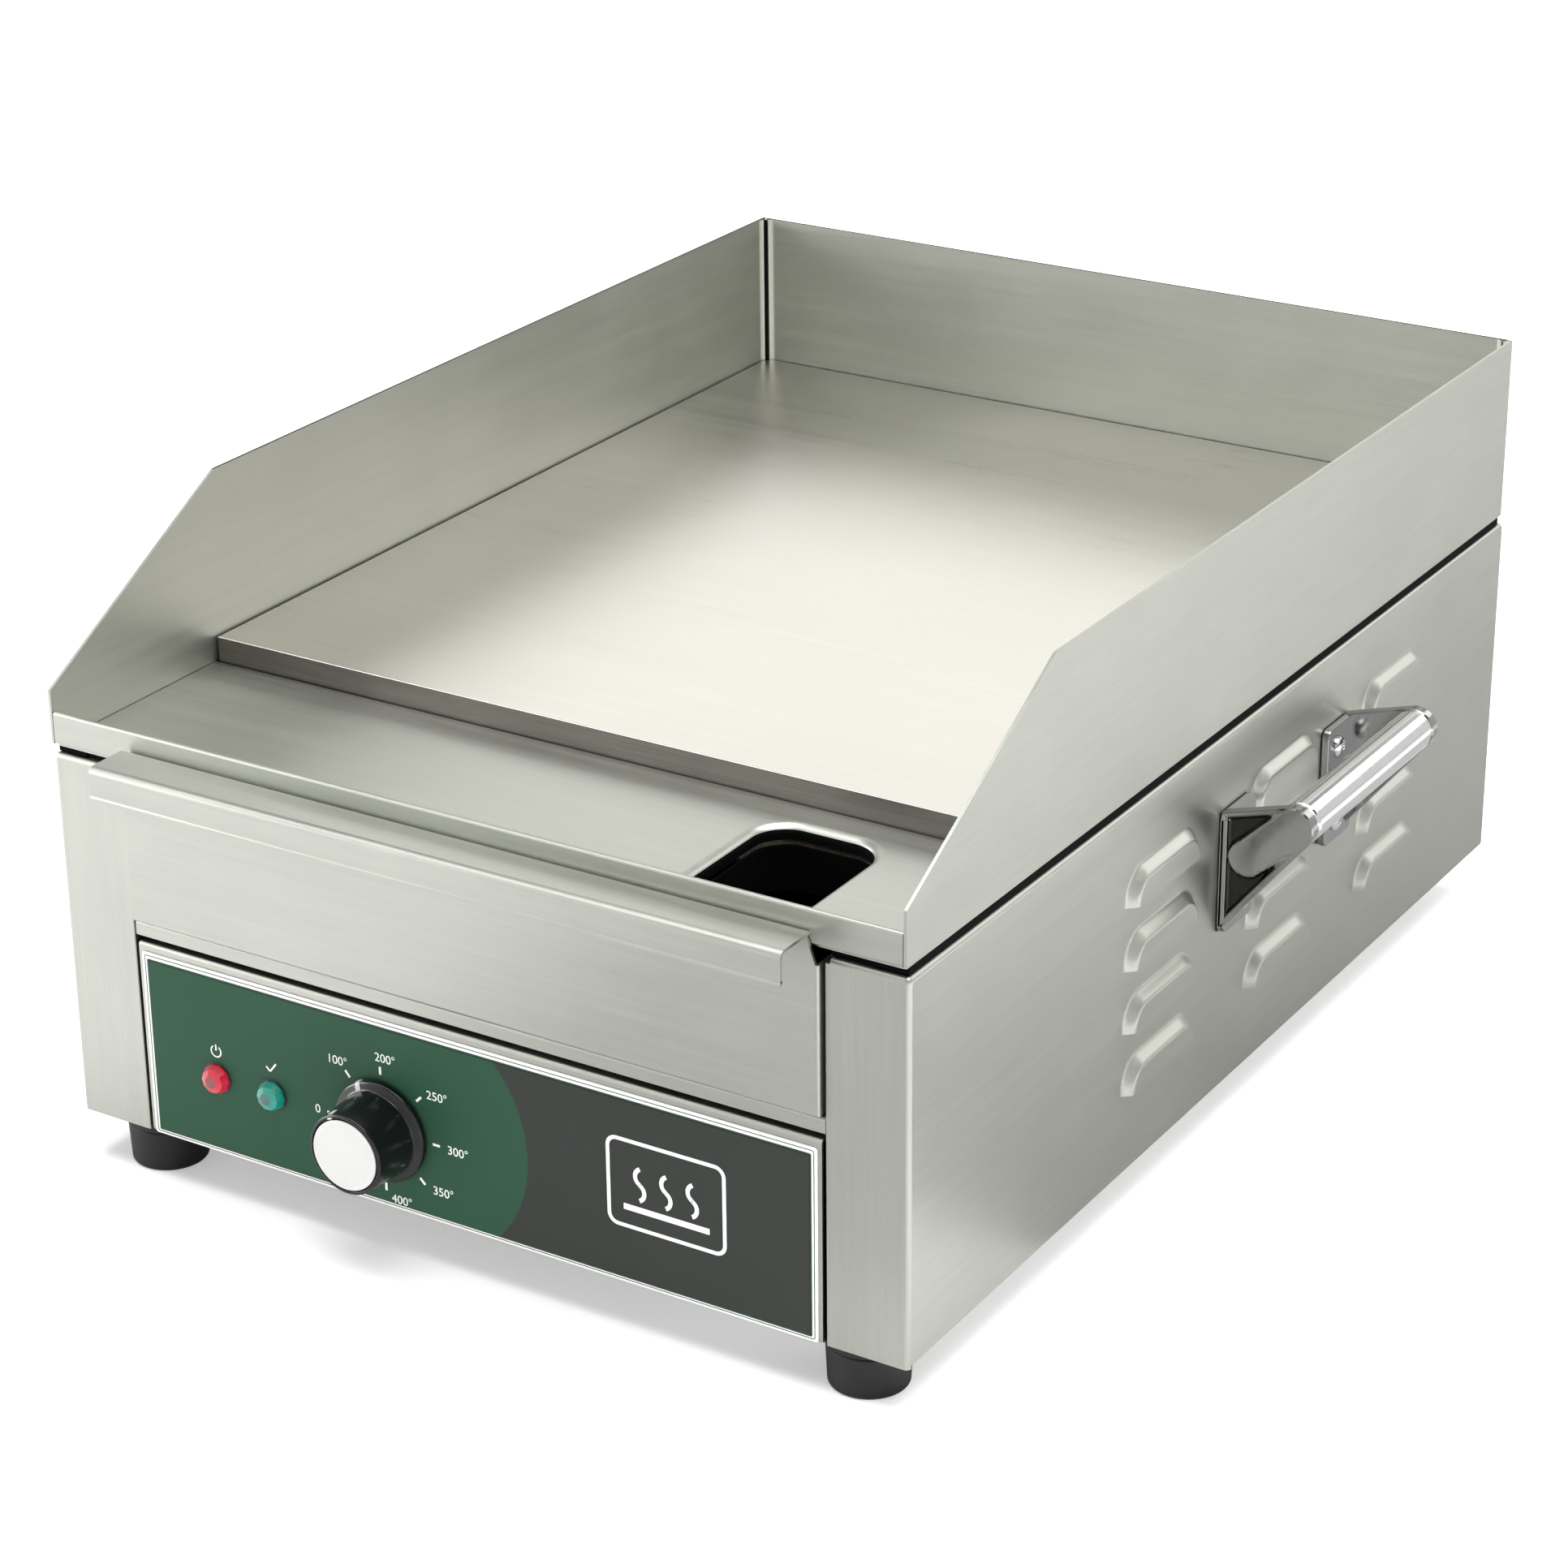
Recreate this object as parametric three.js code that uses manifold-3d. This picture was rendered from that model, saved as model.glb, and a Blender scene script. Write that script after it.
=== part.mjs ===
// Countertop electric griddle: a folded sheet-steel body on four rubber feet carries a thick cooking plate
// inside a three-sided splash guard. Fat runs over the plate's front edge into a trough, and through a drain
// hole into a grease drawer. A thermostat knob and two lamps sit on the control panel below the drawer.
//
// Millimetres. +X is right, +Y runs from the front to the back, +Z is up from the surface it stands on.
// Sub-parts are laid out from the front face of the trough's lip, y = 0, and the unit group then moves them
// so that the origin lies under the middle of the whole griddle.
import * as THREE from "three";
import { mergeVertices } from "three/addons/utils/BufferGeometryUtils.js";
import Module from "manifold-3d";

const wasm = await Module();
wasm.setup();

// ---- Driving dimensions ----------------------------------------------------------------------------------
const GAP = 0.3; // between pieces that touch on the real griddle
const SHEET = 1.2; // body and splash guard sheet

const FOOT = { height: 21, radius: 16.4, taper: 1, bore: 3, recess: 7, recessDepth: 12, sides: 20 };
const FOOT_PLACES = [["front", 157.5, 19], ["rear", 149.5, 480]]; // row, distance from the middle, Y

const BODY = { half: 183.7, front: 1, rear: 498.8, bottom: 21, top: 170.9, flange: 15 };
const POST = { width: 32.7, depth: 29 };

const TRAY = { half: 183, depth: 498.3, bottom: 175, lip: 12.7, hem: 3 };
const GUARD = { height: 76.8, nose: 21.1, slope: 100.5 };
const PLATE = { front: 94.7, top: TRAY.bottom + 10.1, thickness: 12.1 };

const DRAIN = { left: 83, right: 129.5, front: 12, rear: 78, corner: 13 };
const DRAIN_RIM = 4; // width of the round bend from the trough's floor down into the drain
const CHUTE_BOTTOM = 150;

const RAIL = { bottom: 103.8, top: 110, half: 150.7, depth: 22 };
const PANEL = { half: 149.5, bottom: BODY.bottom, top: 101.4, depth: 12 };
const LABEL = { half: 145.5, bottom: 23, top: 95.3, front: 0.2, thickness: 0.5 };

const CONTROL_Z = 53.4; // height of the knob and the lamps
const KNOB = { x: -37.7, skirt: 20.5, skirtDepth: 3.4, grip: 16, cap: 14.5, front: 23.5, clearance: 0.8 };
const POINTER_ANGLE = THREE.MathUtils.degToRad(114); // anticlockwise from +X, seen from the front
const SPINDLE = { radius: 3, hole: 5, rear: 13.5, front: 16 };
const LAMP = { power: -114.8, ready: -88.7, lens: 6, shank: 4.3, hole: 4.7, proud: 4.6 };

const DRAWER_FRONT = { half: 150, bottom: 110.5, top: 178, face: -1.5, returns: 14, chamfer: [4.6, 9.7] };
const PULL = { half: 147.2, reach: 20, top: 179.7, drop: 11.7 };
const DRAWER_TRAY = { half: 139, rear: 252, bottom: 112.5, top: 141.2, sheet: 1, flange: 9 };
const RUNNER = { inner: 141, outer: 150.7, level: 139.7, top: 144.2, front: 16, rear: 300 };

const LOUVRE = { width: 57.5, height: 14, proud: 4, sheet: 1, corner: 5, columns: 3, rows: 4 };
const LOUVRE_FIRST = { y: 155.3, z: 55.7 }; // front lower corner of the first one
const LOUVRE_PITCH = { y: 102.3, z: 25.65 };

const HANDLE = { front: 232, rear: 347, barOut: 30, barZ: 141, barRadius: 8.3, web: 5 };
const HANDLE_FOOT = { bottom: 91, top: 141, reach: 25, thickness: 3 };

const ELEMENT = { radius: 4, z: 168.4, pitch: 36, first: 30, front: 130, turnRear: 440, rear: 470 };
const CLAMP = { half: 160, width: 20, top: 164.1, thickness: 3.6, frontY: 200, rearY: 400 };
const STUD = { radius: 3, hole: 3.4, bottom: 156, nut: 5.5, nutTop: 160.2 };
const SHIELD = { half: 166, front: 97, rear: 478, bottom: 144.5 };
const INSULATION_TOP = 155.5;

const GLAND = { x: 120, z: 60, flange: 11, shank: 7.5, bore: 4.5, inside: 490, rear: 514 };

// The whole griddle runs from the knob's face to the cable gland's nose.
const CENTRE_Y = (GLAND.rear - KNOB.front) / 2;

// ---- Materials -------------------------------------------------------------------------------------------
const finish = (color, roughness, metalness) => () =>
  new THREE.MeshStandardMaterial({ color, roughness, metalness });

const brushedSteel = finish(0xb4b3a8, 0.35, 1);
const galvanised = finish(0x9a9c9b, 0.5, 1);
const plateSteel = finish(0xd8d4c6, 0.28, 1);
const chrome = finish(0xe6e6e6, 0.08, 1);
const sheath = finish(0x6d6862, 0.5, 1);
const rubber = finish(0x2d2d2a, 0.85, 0);
const blackPlastic = finish(0x121314, 0.25, 0);
const whitePlastic = finish(0xf1f1ee, 0.35, 0);
const labelFilm = finish(0x3f6b50, 0.5, 0);
const redLens = finish(0xb01a22, 0.15, 0);
const greenLens = finish(0x0f7c66, 0.15, 0);
const mineralFibre = finish(0xd9d2bd, 0.95, 0);
const copper = finish(0xb5734a, 0.4, 1);
const ceramic = finish(0xe9e4d8, 0.5, 0);
const wireSleeve = finish(0xc9c2b4, 0.8, 0);

// ---- Geometry helpers ------------------------------------------------------------------------------------
const X = new THREE.Vector3(1, 0, 0);
const Y = new THREE.Vector3(0, 1, 0);
const Z = new THREE.Vector3(0, 0, 1);

function shapeOf(outline) {
  return outline instanceof THREE.Shape ? outline : new THREE.Shape(outline.map(([a, b]) => new THREE.Vector2(a, b)));
}

function extruded(outline, depth, curveSegments = 4) {
  return new THREE.ExtrudeGeometry(shapeOf(outline), { depth, curveSegments, bevelEnabled: false });
}

// An outline in Y and Z, run along X.
function alongX(outline, from, to) {
  const turn = new THREE.Matrix4().makeBasis(Y, Z, X);
  return extruded(outline, to - from).applyMatrix4(turn).translate(from, 0, 0);
}

// An outline in X and Z, run along Y.
function alongY(outline, from, to) {
  const turn = new THREE.Matrix4().makeBasis(X, Z, Y.clone().negate());
  return extruded(outline, to - from).applyMatrix4(turn).translate(0, to, 0);
}

// An outline in X and Y, run along Z.
function alongZ(outline, from, to) {
  return extruded(outline, to - from).translate(0, 0, from);
}

function block([x0, x1], [y0, y1], [z0, z1]) {
  const box = new THREE.BoxGeometry(x1 - x0, y1 - y0, z1 - z0);
  return box.translate((x0 + x1) / 2, (y0 + y1) / 2, (z0 + z1) / 2);
}

// A profile of [radius, height] turned about Z. It climbs on the outside.
function turned(profile, sides = 24) {
  const points = profile.map(([radius, height]) => new THREE.Vector2(radius, height));
  return new THREE.LatheGeometry(points, sides).rotateX(Math.PI / 2);
}

// A cylinder that runs along Y between two depths.
function pinAlongY(radius, x, z, from, to, sides = 20) {
  const pin = new THREE.CylinderGeometry(radius, radius, to - from, sides);
  return pin.translate(x, (from + to) / 2, z);
}

function pinAlongZ(radius, x, y, from, to, sides = 16) {
  const pin = new THREE.CylinderGeometry(radius, radius, to - from, sides).rotateX(Math.PI / 2);
  return pin.translate(x, y, (from + to) / 2);
}

function roundedRectangle(a0, a1, b0, b1, radius) {
  const shape = new THREE.Shape();
  shape.moveTo(a0 + radius, b0);
  shape.lineTo(a1 - radius, b0);
  shape.absarc(a1 - radius, b0 + radius, radius, -Math.PI / 2, 0);
  shape.lineTo(a1, b1 - radius);
  shape.absarc(a1 - radius, b1 - radius, radius, 0, Math.PI / 2);
  shape.lineTo(a0 + radius, b1);
  shape.absarc(a0 + radius, b1 - radius, radius, Math.PI / 2, Math.PI);
  shape.lineTo(a0, b0 + radius);
  shape.absarc(a0 + radius, b0 + radius, radius, Math.PI, 1.5 * Math.PI);
  return shape;
}

function solidOf(geometry) {
  const bare = geometry.clone();
  bare.deleteAttribute("normal");
  bare.deleteAttribute("uv");
  const merged = mergeVertices(bare, 1e-4);
  const vertProperties = merged.attributes.position.array;
  const triVerts = new Uint32Array(merged.index.array);
  return new wasm.Manifold(new wasm.Mesh({ numProp: 3, vertProperties, triVerts }));
}

function geometryOf(solid) {
  const mesh = solid.getMesh();
  const geometry = new THREE.BufferGeometry();
  geometry.setAttribute("position", new THREE.BufferAttribute(mesh.vertProperties, 3));
  geometry.setIndex(new THREE.BufferAttribute(mesh.triVerts, 1));
  geometry.computeVertexNormals();
  return geometry;
}

function joined(...geometries) {
  return geometryOf(geometries.map(solidOf).reduce((sum, next) => sum.add(next)));
}

function cut(geometry, ...tools) {
  return geometryOf(tools.map(solidOf).reduce((rest, tool) => rest.subtract(tool), solidOf(geometry)));
}

function common(geometry, other) {
  return geometryOf(solidOf(geometry).intersect(solidOf(other)));
}

// A polyline whose points are the sweep's steps, so that straight stretches take one step each.
class Route extends THREE.Curve {
  constructor(points) {
    super();
    this.points = points.map(([x, y, z]) => new THREE.Vector3(x, y, z));
  }
  indexAt(t) {
    return Math.round(t * (this.points.length - 1));
  }
  getPointAt(t) {
    return this.points[this.indexAt(t)].clone();
  }
  getTangentAt(t) {
    const last = this.points.length - 1;
    const at = this.indexAt(t);
    const step = (from) => this.points[from + 1].clone().sub(this.points[from]).normalize();
    return step(Math.max(at - 1, 0)).add(step(Math.min(at, last - 1))).normalize();
  }
}

function tube(points, radius, sides = 8) {
  const section = new THREE.Shape();
  section.absarc(0, 0, radius, 0, 2 * Math.PI);
  const extrudePath = new Route(points);
  return new THREE.ExtrudeGeometry(section, { steps: points.length - 1, curveSegments: sides, extrudePath });
}

// A tube whose hand-placed points are joined by one smooth curve.
function smoothTube(points, radius, steps, sides) {
  const curve = new THREE.CatmullRomCurve3(points.map(([x, y, z]) => new THREE.Vector3(x, y, z)), false, "centripetal");
  return tube(curve.getSpacedPoints(steps).map((p) => p.toArray()), radius, sides);
}

const unit = new THREE.Group();

function add(parent, name, material, geometry) {
  const mesh = new THREE.Mesh(geometry, material());
  mesh.name = name;
  parent.add(mesh);
  return mesh;
}

// A right-hand piece and its mirror image on the left.
function addPair(name, material, geometry) {
  add(unit, "right_" + name, material, geometry);
  add(unit, "left_" + name, material, geometry).scale.x = -1;
}

// ---- Feet ------------------------------------------------------------------------------------------------
function addFeet() {
  const top = FOOT.height - GAP;
  const foot = turned([
    [FOOT.recess, 0],
    [FOOT.radius - FOOT.taper - 0.8, 0],
    [FOOT.radius - FOOT.taper, 0.8],
    [FOOT.radius, top - 0.8],
    [FOOT.radius - 0.6, top],
    [FOOT.bore, top],
    [FOOT.bore, FOOT.recessDepth],
    [FOOT.recess, FOOT.recessDepth],
    [FOOT.recess, 0],
  ], FOOT.sides);
  const headBottom = FOOT.recessDepth - GAP - 2.7;
  const screw = turned([
    [0, headBottom],
    [5.5, headBottom],
    [5.5, FOOT.recessDepth - GAP],
    [2.5, FOOT.recessDepth - GAP],
    [2.5, BODY.bottom + 7],
    [0, BODY.bottom + 7],
  ], 12);
  for (const [row, out, y] of FOOT_PLACES) {
    for (const [side, x] of [["left", -out], ["right", out]]) {
      add(unit, row + "_" + side + "_foot", rubber, foot).position.set(x, y, 0);
      add(unit, row + "_" + side + "_foot_screw", galvanised, screw).position.set(x, y, 0);
    }
  }
}

// ---- Body ------------------------------------------------------------------------------------------------
// A pressed louvre's form on the right-hand panel: a flat face, sloping ends and top, cut off level below.
function louvreForm(y, z, inset, inwards, drop) {
  const slope = LOUVRE.proud;
  const face = roundedRectangle(slope + inset, LOUVRE.width - slope - inset, -2 * LOUVRE.height,
    LOUVRE.height - slope - inset, LOUVRE.corner - inset);
  const bulge = new THREE.ExtrudeGeometry(face, {
    depth: inwards, curveSegments: 2, bevelSegments: 1, bevelThickness: slope - inset, bevelSize: slope,
  });
  bulge.applyMatrix4(new THREE.Matrix4().makeBasis(Y, Z, X));
  bulge.translate(BODY.half - inwards, y, z);
  const reach = [BODY.half - inwards, BODY.half + 2 * slope];
  return common(bulge, block(reach, [y - 1, y + LOUVRE.width + 1], [z - drop, z + 2 * LOUVRE.height]));
}

function sidePanel() {
  const inner = BODY.half - SHEET;
  const flange = BODY.half - BODY.flange;
  const channel = alongY([
    [BODY.half, BODY.bottom], [BODY.half, BODY.top], [flange, BODY.top], [flange, BODY.top - SHEET],
    [inner, BODY.top - SHEET], [inner, BODY.bottom + SHEET], [flange, BODY.bottom + SHEET], [flange, BODY.bottom],
  ], BODY.front + SHEET + GAP, BODY.rear);
  const hoods = [];
  const hollows = [];
  for (let column = 0; column < LOUVRE.columns; column++) {
    for (let row = 0; row < LOUVRE.rows; row++) {
      const y = LOUVRE_FIRST.y + column * LOUVRE_PITCH.y;
      const z = LOUVRE_FIRST.z + row * LOUVRE_PITCH.z;
      hoods.push(louvreForm(y, z, 0, SHEET / 2, 0));
      hollows.push(louvreForm(y, z, LOUVRE.sheet, 2 * SHEET, 0.5));
    }
  }
  return cut(joined(channel, ...hoods), ...hollows);
}

function frontPost() {
  const inner = BODY.half - POST.width;
  const front = BODY.front;
  return alongZ([
    [inner, front], [BODY.half, front], [BODY.half, front + SHEET], [inner + SHEET, front + SHEET],
    [inner + SHEET, front + POST.depth], [inner, front + POST.depth],
  ], BODY.bottom, BODY.top);
}

function rearPanel() {
  const edge = BODY.half - SHEET - GAP;
  const sheet = block([-edge, edge], [BODY.rear - SHEET, BODY.rear],
    [BODY.bottom + SHEET + GAP, BODY.top - SHEET - GAP]);
  return cut(sheet, pinAlongY(GLAND.shank + GAP, GLAND.x, GLAND.z, BODY.rear - 5, BODY.rear + 5));
}

function basePlate() {
  const edge = BODY.half - BODY.flange - GAP;
  const levels = [BODY.bottom, BODY.bottom + SHEET];
  const plate = block([-edge, edge], [30 + GAP, BODY.rear - SHEET - GAP], levels);
  const nose = block([-edge, edge], [BODY.front + PANEL.depth + GAP, 31], levels);
  const postReturn = BODY.half - POST.width;
  const holes = [];
  for (const x of [-postReturn - SHEET, postReturn]) {
    holes.push(block([x - GAP, x + SHEET + GAP], [0, BODY.front + POST.depth + GAP], [10, 30]));
  }
  for (const [, out, y] of FOOT_PLACES) {
    for (const x of [-out, out]) holes.push(pinAlongZ(2.8, x, y, 10, 30));
  }
  const slots = 6;
  for (let slot = 0; slot < slots; slot++) {
    const y = 150 + slot * 40;
    holes.push(block([-110, -40], [y, y + 3.5], [10, 30]), block([40, 110], [y, y + 3.5], [10, 30]));
  }
  return cut(joined(plate, nose), ...holes);
}

function crossRail() {
  const front = BODY.front + 0.5;
  return alongX([
    [front, RAIL.bottom], [front + SHEET, RAIL.bottom], [front + SHEET, RAIL.top - SHEET],
    [front + RAIL.depth, RAIL.top - SHEET], [front + RAIL.depth, RAIL.top], [front, RAIL.top],
  ], -RAIL.half, RAIL.half);
}

function addBody() {
  addPair("side_panel", brushedSteel, sidePanel());
  addPair("front_post", brushedSteel, frontPost());
  add(unit, "rear_panel", brushedSteel, rearPanel());
  add(unit, "base_plate", galvanised, basePlate());
  add(unit, "front_cross_rail", brushedSteel, crossRail());
}

// ---- Cooking top -----------------------------------------------------------------------------------------
function sideGuard() {
  const outline = [
    [0, TRAY.bottom],
    [TRAY.depth, TRAY.bottom],
    [TRAY.depth, TRAY.bottom + GUARD.height],
    [GUARD.slope, TRAY.bottom + GUARD.height],
    [0, TRAY.bottom + GUARD.nose],
  ];
  return alongX(outline, TRAY.half - SHEET, TRAY.half);
}

// The lip stands in front of the trough, with its top edge folded back on itself.
function troughLip() {
  const top = TRAY.bottom + TRAY.lip;
  const edge = TRAY.half - SHEET - GAP;
  return alongX([
    [0, TRAY.bottom], [SHEET, TRAY.bottom], [SHEET, top - TRAY.hem], [2 * SHEET, top - TRAY.hem],
    [2 * SHEET, top - 0.5], [2 * SHEET - 0.5, top], [0.5, top], [0, top - 0.5],
  ], -edge, edge);
}

function drainOutline(spread) {
  return roundedRectangle(DRAIN.left - spread, DRAIN.right + spread, DRAIN.front - spread, DRAIN.rear + spread,
    DRAIN.corner + spread);
}

function troughFloor() {
  const edge = TRAY.half - SHEET - GAP;
  const floor = block([-edge, edge], [SHEET + GAP, PLATE.front - GAP], [TRAY.bottom - SHEET, TRAY.bottom]);
  return cut(floor, alongZ(drainOutline(DRAIN_RIM), TRAY.bottom - 10, TRAY.bottom + 10));
}

// The drain's rim hangs just below the trough's floor, and its duct reaches down over the drawer.
function drainChute() {
  const rimTop = TRAY.bottom - SHEET - GAP;
  const rim = alongZ(drainOutline(DRAIN_RIM + 3), rimTop - 1, rimTop);
  const duct = alongZ(drainOutline(1), CHUTE_BOTTOM, rimTop);
  return cut(joined(rim, duct), alongZ(drainOutline(0), CHUTE_BOTTOM - 5, rimTop + 5));
}

function addTop() {
  const inside = TRAY.half - SHEET - GAP;
  const wall = [TRAY.bottom, TRAY.bottom + GUARD.height];
  addPair("splash_guard", brushedSteel, sideGuard());
  add(unit, "rear_splash_guard", brushedSteel, block([-inside, inside], [TRAY.depth - SHEET, TRAY.depth], wall));
  add(unit, "trough_lip", brushedSteel, troughLip());
  add(unit, "trough_floor", brushedSteel, troughFloor());
  add(unit, "drain_chute", brushedSteel, drainChute());
  add(unit, "griddle_plate", plateSteel, block([-inside, inside], [PLATE.front, TRAY.depth - SHEET - GAP],
    [PLATE.top - PLATE.thickness, PLATE.top]));

  const seal = [BODY.top + GAP, BODY.top + 1.8];
  const sealOuter = TRAY.half - SHEET;
  const sealInner = BODY.half - BODY.flange + 0.5;
  addPair("tray_seal", rubber, block([sealInner, sealOuter], [3, 495], seal));
}

// ---- Heating ---------------------------------------------------------------------------------------------
// A sheathed element folded into four legs that run front to back, with both ends at the rear.
function elementRoute() {
  const legs = [0, 1, 2, 3].map((leg) => ELEMENT.first + leg * ELEMENT.pitch);
  const bend = ELEMENT.pitch / 2;
  const turn = (leg, y, way) => [0, 1, 2, 3, 4, 5, 6].map((step) => {
    const angle = (step * Math.PI) / 6;
    return [legs[leg] + bend - bend * Math.cos(angle), y + way * bend * Math.sin(angle), ELEMENT.z];
  });
  return [
    [legs[0], ELEMENT.rear, ELEMENT.z],
    ...turn(0, ELEMENT.front, -1),
    ...turn(1, ELEMENT.turnRear - bend, 1),
    ...turn(2, ELEMENT.front, -1),
    [legs[3], ELEMENT.rear, ELEMENT.z],
  ];
}

function clampBar(y) {
  const bar = block([-CLAMP.half, CLAMP.half], [y - CLAMP.width / 2, y + CLAMP.width / 2],
    [CLAMP.top - CLAMP.thickness, CLAMP.top]);
  return cut(bar, pinAlongZ(STUD.hole, 0, y, CLAMP.top - 10, CLAMP.top + 10));
}

function clampStud() {
  const top = PLATE.top - PLATE.thickness - GAP;
  return joined(pinAlongZ(STUD.radius, 0, 0, STUD.bottom, top, 12), pinAlongZ(STUD.nut, 0, 0, STUD.bottom + 0.5,
    STUD.nutTop, 6));
}

// The insulation lies in a shallow tray whose edges turn up beside it.
function heatShield() {
  const { half, bottom } = SHIELD;
  const top = INSULATION_TOP;
  return alongY([
    [-half, bottom], [half, bottom], [half, top], [half - SHEET, top], [half - SHEET, bottom + SHEET],
    [-half + SHEET, bottom + SHEET], [-half + SHEET, top], [-half, top],
  ], SHIELD.front, SHIELD.rear);
}

function addHeating() {
  addPair("heating_element", sheath, tube(elementRoute(), ELEMENT.radius));
  for (const [row, y] of [["front", CLAMP.frontY], ["rear", CLAMP.rearY]]) {
    add(unit, row + "_clamp_bar", galvanised, clampBar(y));
    add(unit, row + "_clamp_stud", galvanised, clampStud()).position.y = y;
  }
  const edge = SHIELD.half - SHEET - GAP;
  add(unit, "heat_shield", galvanised, heatShield());
  add(unit, "insulation_board", mineralFibre, block([-edge, edge], [SHIELD.front, SHIELD.rear],
    [SHIELD.bottom + SHEET + GAP, INSULATION_TOP]));
}

// ---- Controls --------------------------------------------------------------------------------------------
function controlHoles(from, to) {
  return [
    pinAlongY(SPINDLE.hole, KNOB.x, CONTROL_Z, from, to),
    pinAlongY(LAMP.hole, LAMP.power, CONTROL_Z, from, to),
    pinAlongY(LAMP.hole, LAMP.ready, CONTROL_Z, from, to),
  ];
}

function controlPanel() {
  const front = BODY.front;
  const back = front + PANEL.depth;
  const channel = alongX([
    [front, PANEL.bottom], [back, PANEL.bottom], [back, PANEL.bottom + SHEET], [front + SHEET, PANEL.bottom + SHEET],
    [front + SHEET, PANEL.top - SHEET], [back, PANEL.top - SHEET], [back, PANEL.top], [front, PANEL.top],
  ], -PANEL.half, PANEL.half);
  return cut(channel, ...controlHoles(-10, 10));
}

function panelLabel() {
  const sheet = block([-LABEL.half, LABEL.half], [LABEL.front, LABEL.front + LABEL.thickness],
    [LABEL.bottom, LABEL.top]);
  return cut(sheet, ...controlHoles(-10, 10));
}

// A group whose +Z points out of the front of the panel.
function facingFront(x) {
  const group = new THREE.Group();
  group.position.set(x, 0, CONTROL_Z);
  group.rotation.x = Math.PI / 2;
  unit.add(group);
  return group;
}

function addLamp(name, x, material) {
  const group = facingFront(x);
  const seat = GAP - LABEL.front;
  const lens = turned([
    [0, -8], [LAMP.shank, -8], [LAMP.shank, seat], [LAMP.lens, seat], [LAMP.lens, seat + 1.4],
    [LAMP.lens * 0.8, LAMP.proud - 1], [LAMP.lens * 0.45, LAMP.proud - 0.2], [0, LAMP.proud],
  ], 16);
  add(group, name + "_lamp_lens", material, lens);
  add(group, name + "_lamp_holder", blackPlastic, turned([[0, -28], [5.2, -28], [5.2, -8.3], [0, -8.3]], 12));
}

function addKnob() {
  const group = facingFront(KNOB.x);
  const base = KNOB.clearance - LABEL.front;
  const skirtTop = base + KNOB.skirtDepth;
  const bore = SPINDLE.radius + GAP;
  const seat = KNOB.front - 1.2;
  const rim = KNOB.front - 0.4;
  add(group, "knob_body", blackPlastic, turned([
    [bore, base], [KNOB.skirt - 0.4, base], [KNOB.skirt, base + 0.4], [KNOB.skirt, skirtTop - 0.8],
    [KNOB.skirt - 0.8, skirtTop], [KNOB.grip, skirtTop + 0.3], [KNOB.grip - 0.4, rim - 0.8],
    [KNOB.cap + GAP + 0.2, rim], [KNOB.cap + GAP, seat], [0, seat], [0, SPINDLE.front + GAP],
    [bore, SPINDLE.front + GAP], [bore, base],
  ], 30));
  add(group, "knob_cap", whitePlastic, turned([
    [0, seat + GAP], [KNOB.cap, seat + GAP], [KNOB.cap, KNOB.front - 0.3], [KNOB.cap - 0.5, KNOB.front],
    [0, KNOB.front],
  ], 30));
  const mark = block([KNOB.grip + 0.6, KNOB.skirt - 1.2], [-0.7, 0.7], [skirtTop + GAP, skirtTop + 0.8]);
  add(group, "knob_pointer", whitePlastic, mark).rotation.z = POINTER_ANGLE;
  add(group, "knob_spindle", galvanised, turned([
    [0, -SPINDLE.rear], [SPINDLE.radius, -SPINDLE.rear], [SPINDLE.radius, SPINDLE.front], [0, SPINDLE.front],
  ], 12));
}

function thermostat() {
  const body = block([KNOB.x - 20, KNOB.x + 20], [10, 45], [CONTROL_Z - 22, CONTROL_Z + 22]);
  const collar = pinAlongY(4.6, KNOB.x, CONTROL_Z, 3, 11);
  return cut(joined(body, collar), pinAlongY(SPINDLE.radius + 0.4, KNOB.x, CONTROL_Z, 2, SPINDLE.rear + 0.5));
}

// The sensing bulb lies under the plate, and its capillary runs behind and below the drawer to the thermostat.
function sensingBulb() {
  const x = -12;
  const z = 169;
  const bulb = pinAlongY(3, x, z, 230, 320, 10);
  const capillary = smoothTube([
    [x, 318, z], [x, 400, z], [x, 470, 167], [x, 487, 155], [x, 488, 115], [x - 4, 470, 95], [x - 10, 400, 90],
    [x - 18, 250, 88], [KNOB.x, 110, 82], [KNOB.x, 60, 68], [KNOB.x, 45 + 2 * GAP, 62],
  ], 1.2, 30, 6);
  return joined(bulb, capillary);
}

function addControls() {
  add(unit, "control_panel", brushedSteel, controlPanel());
  add(unit, "panel_label", labelFilm, panelLabel());
  addLamp("power", LAMP.power, redLens);
  addLamp("ready", LAMP.ready, greenLens);
  addKnob();
  add(unit, "thermostat", galvanised, thermostat());
  add(unit, "thermostat_bulb", copper, sensingBulb());
  add(unit, "limit_switch", ceramic, pinAlongZ(8, 12, 300, 163.5, PLATE.top - PLATE.thickness - GAP));
}

// ---- Wiring ----------------------------------------------------------------------------------------------
function cableGland() {
  const ring = turned([
    [GLAND.bore, 0], [GLAND.shank, 0], [GLAND.shank, BODY.rear + GAP - GLAND.inside],
    [GLAND.flange, BODY.rear + GAP - GLAND.inside], [GLAND.flange, 13], [8.5, 14.5],
    [7.5, GLAND.rear - GLAND.inside - 1], [6.5, GLAND.rear - GLAND.inside], [GLAND.bore, GLAND.rear - GLAND.inside],
    [GLAND.bore, 0],
  ], 20);
  return ring.rotateX(-Math.PI / 2).translate(GLAND.x, GLAND.inside, GLAND.z);
}

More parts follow.
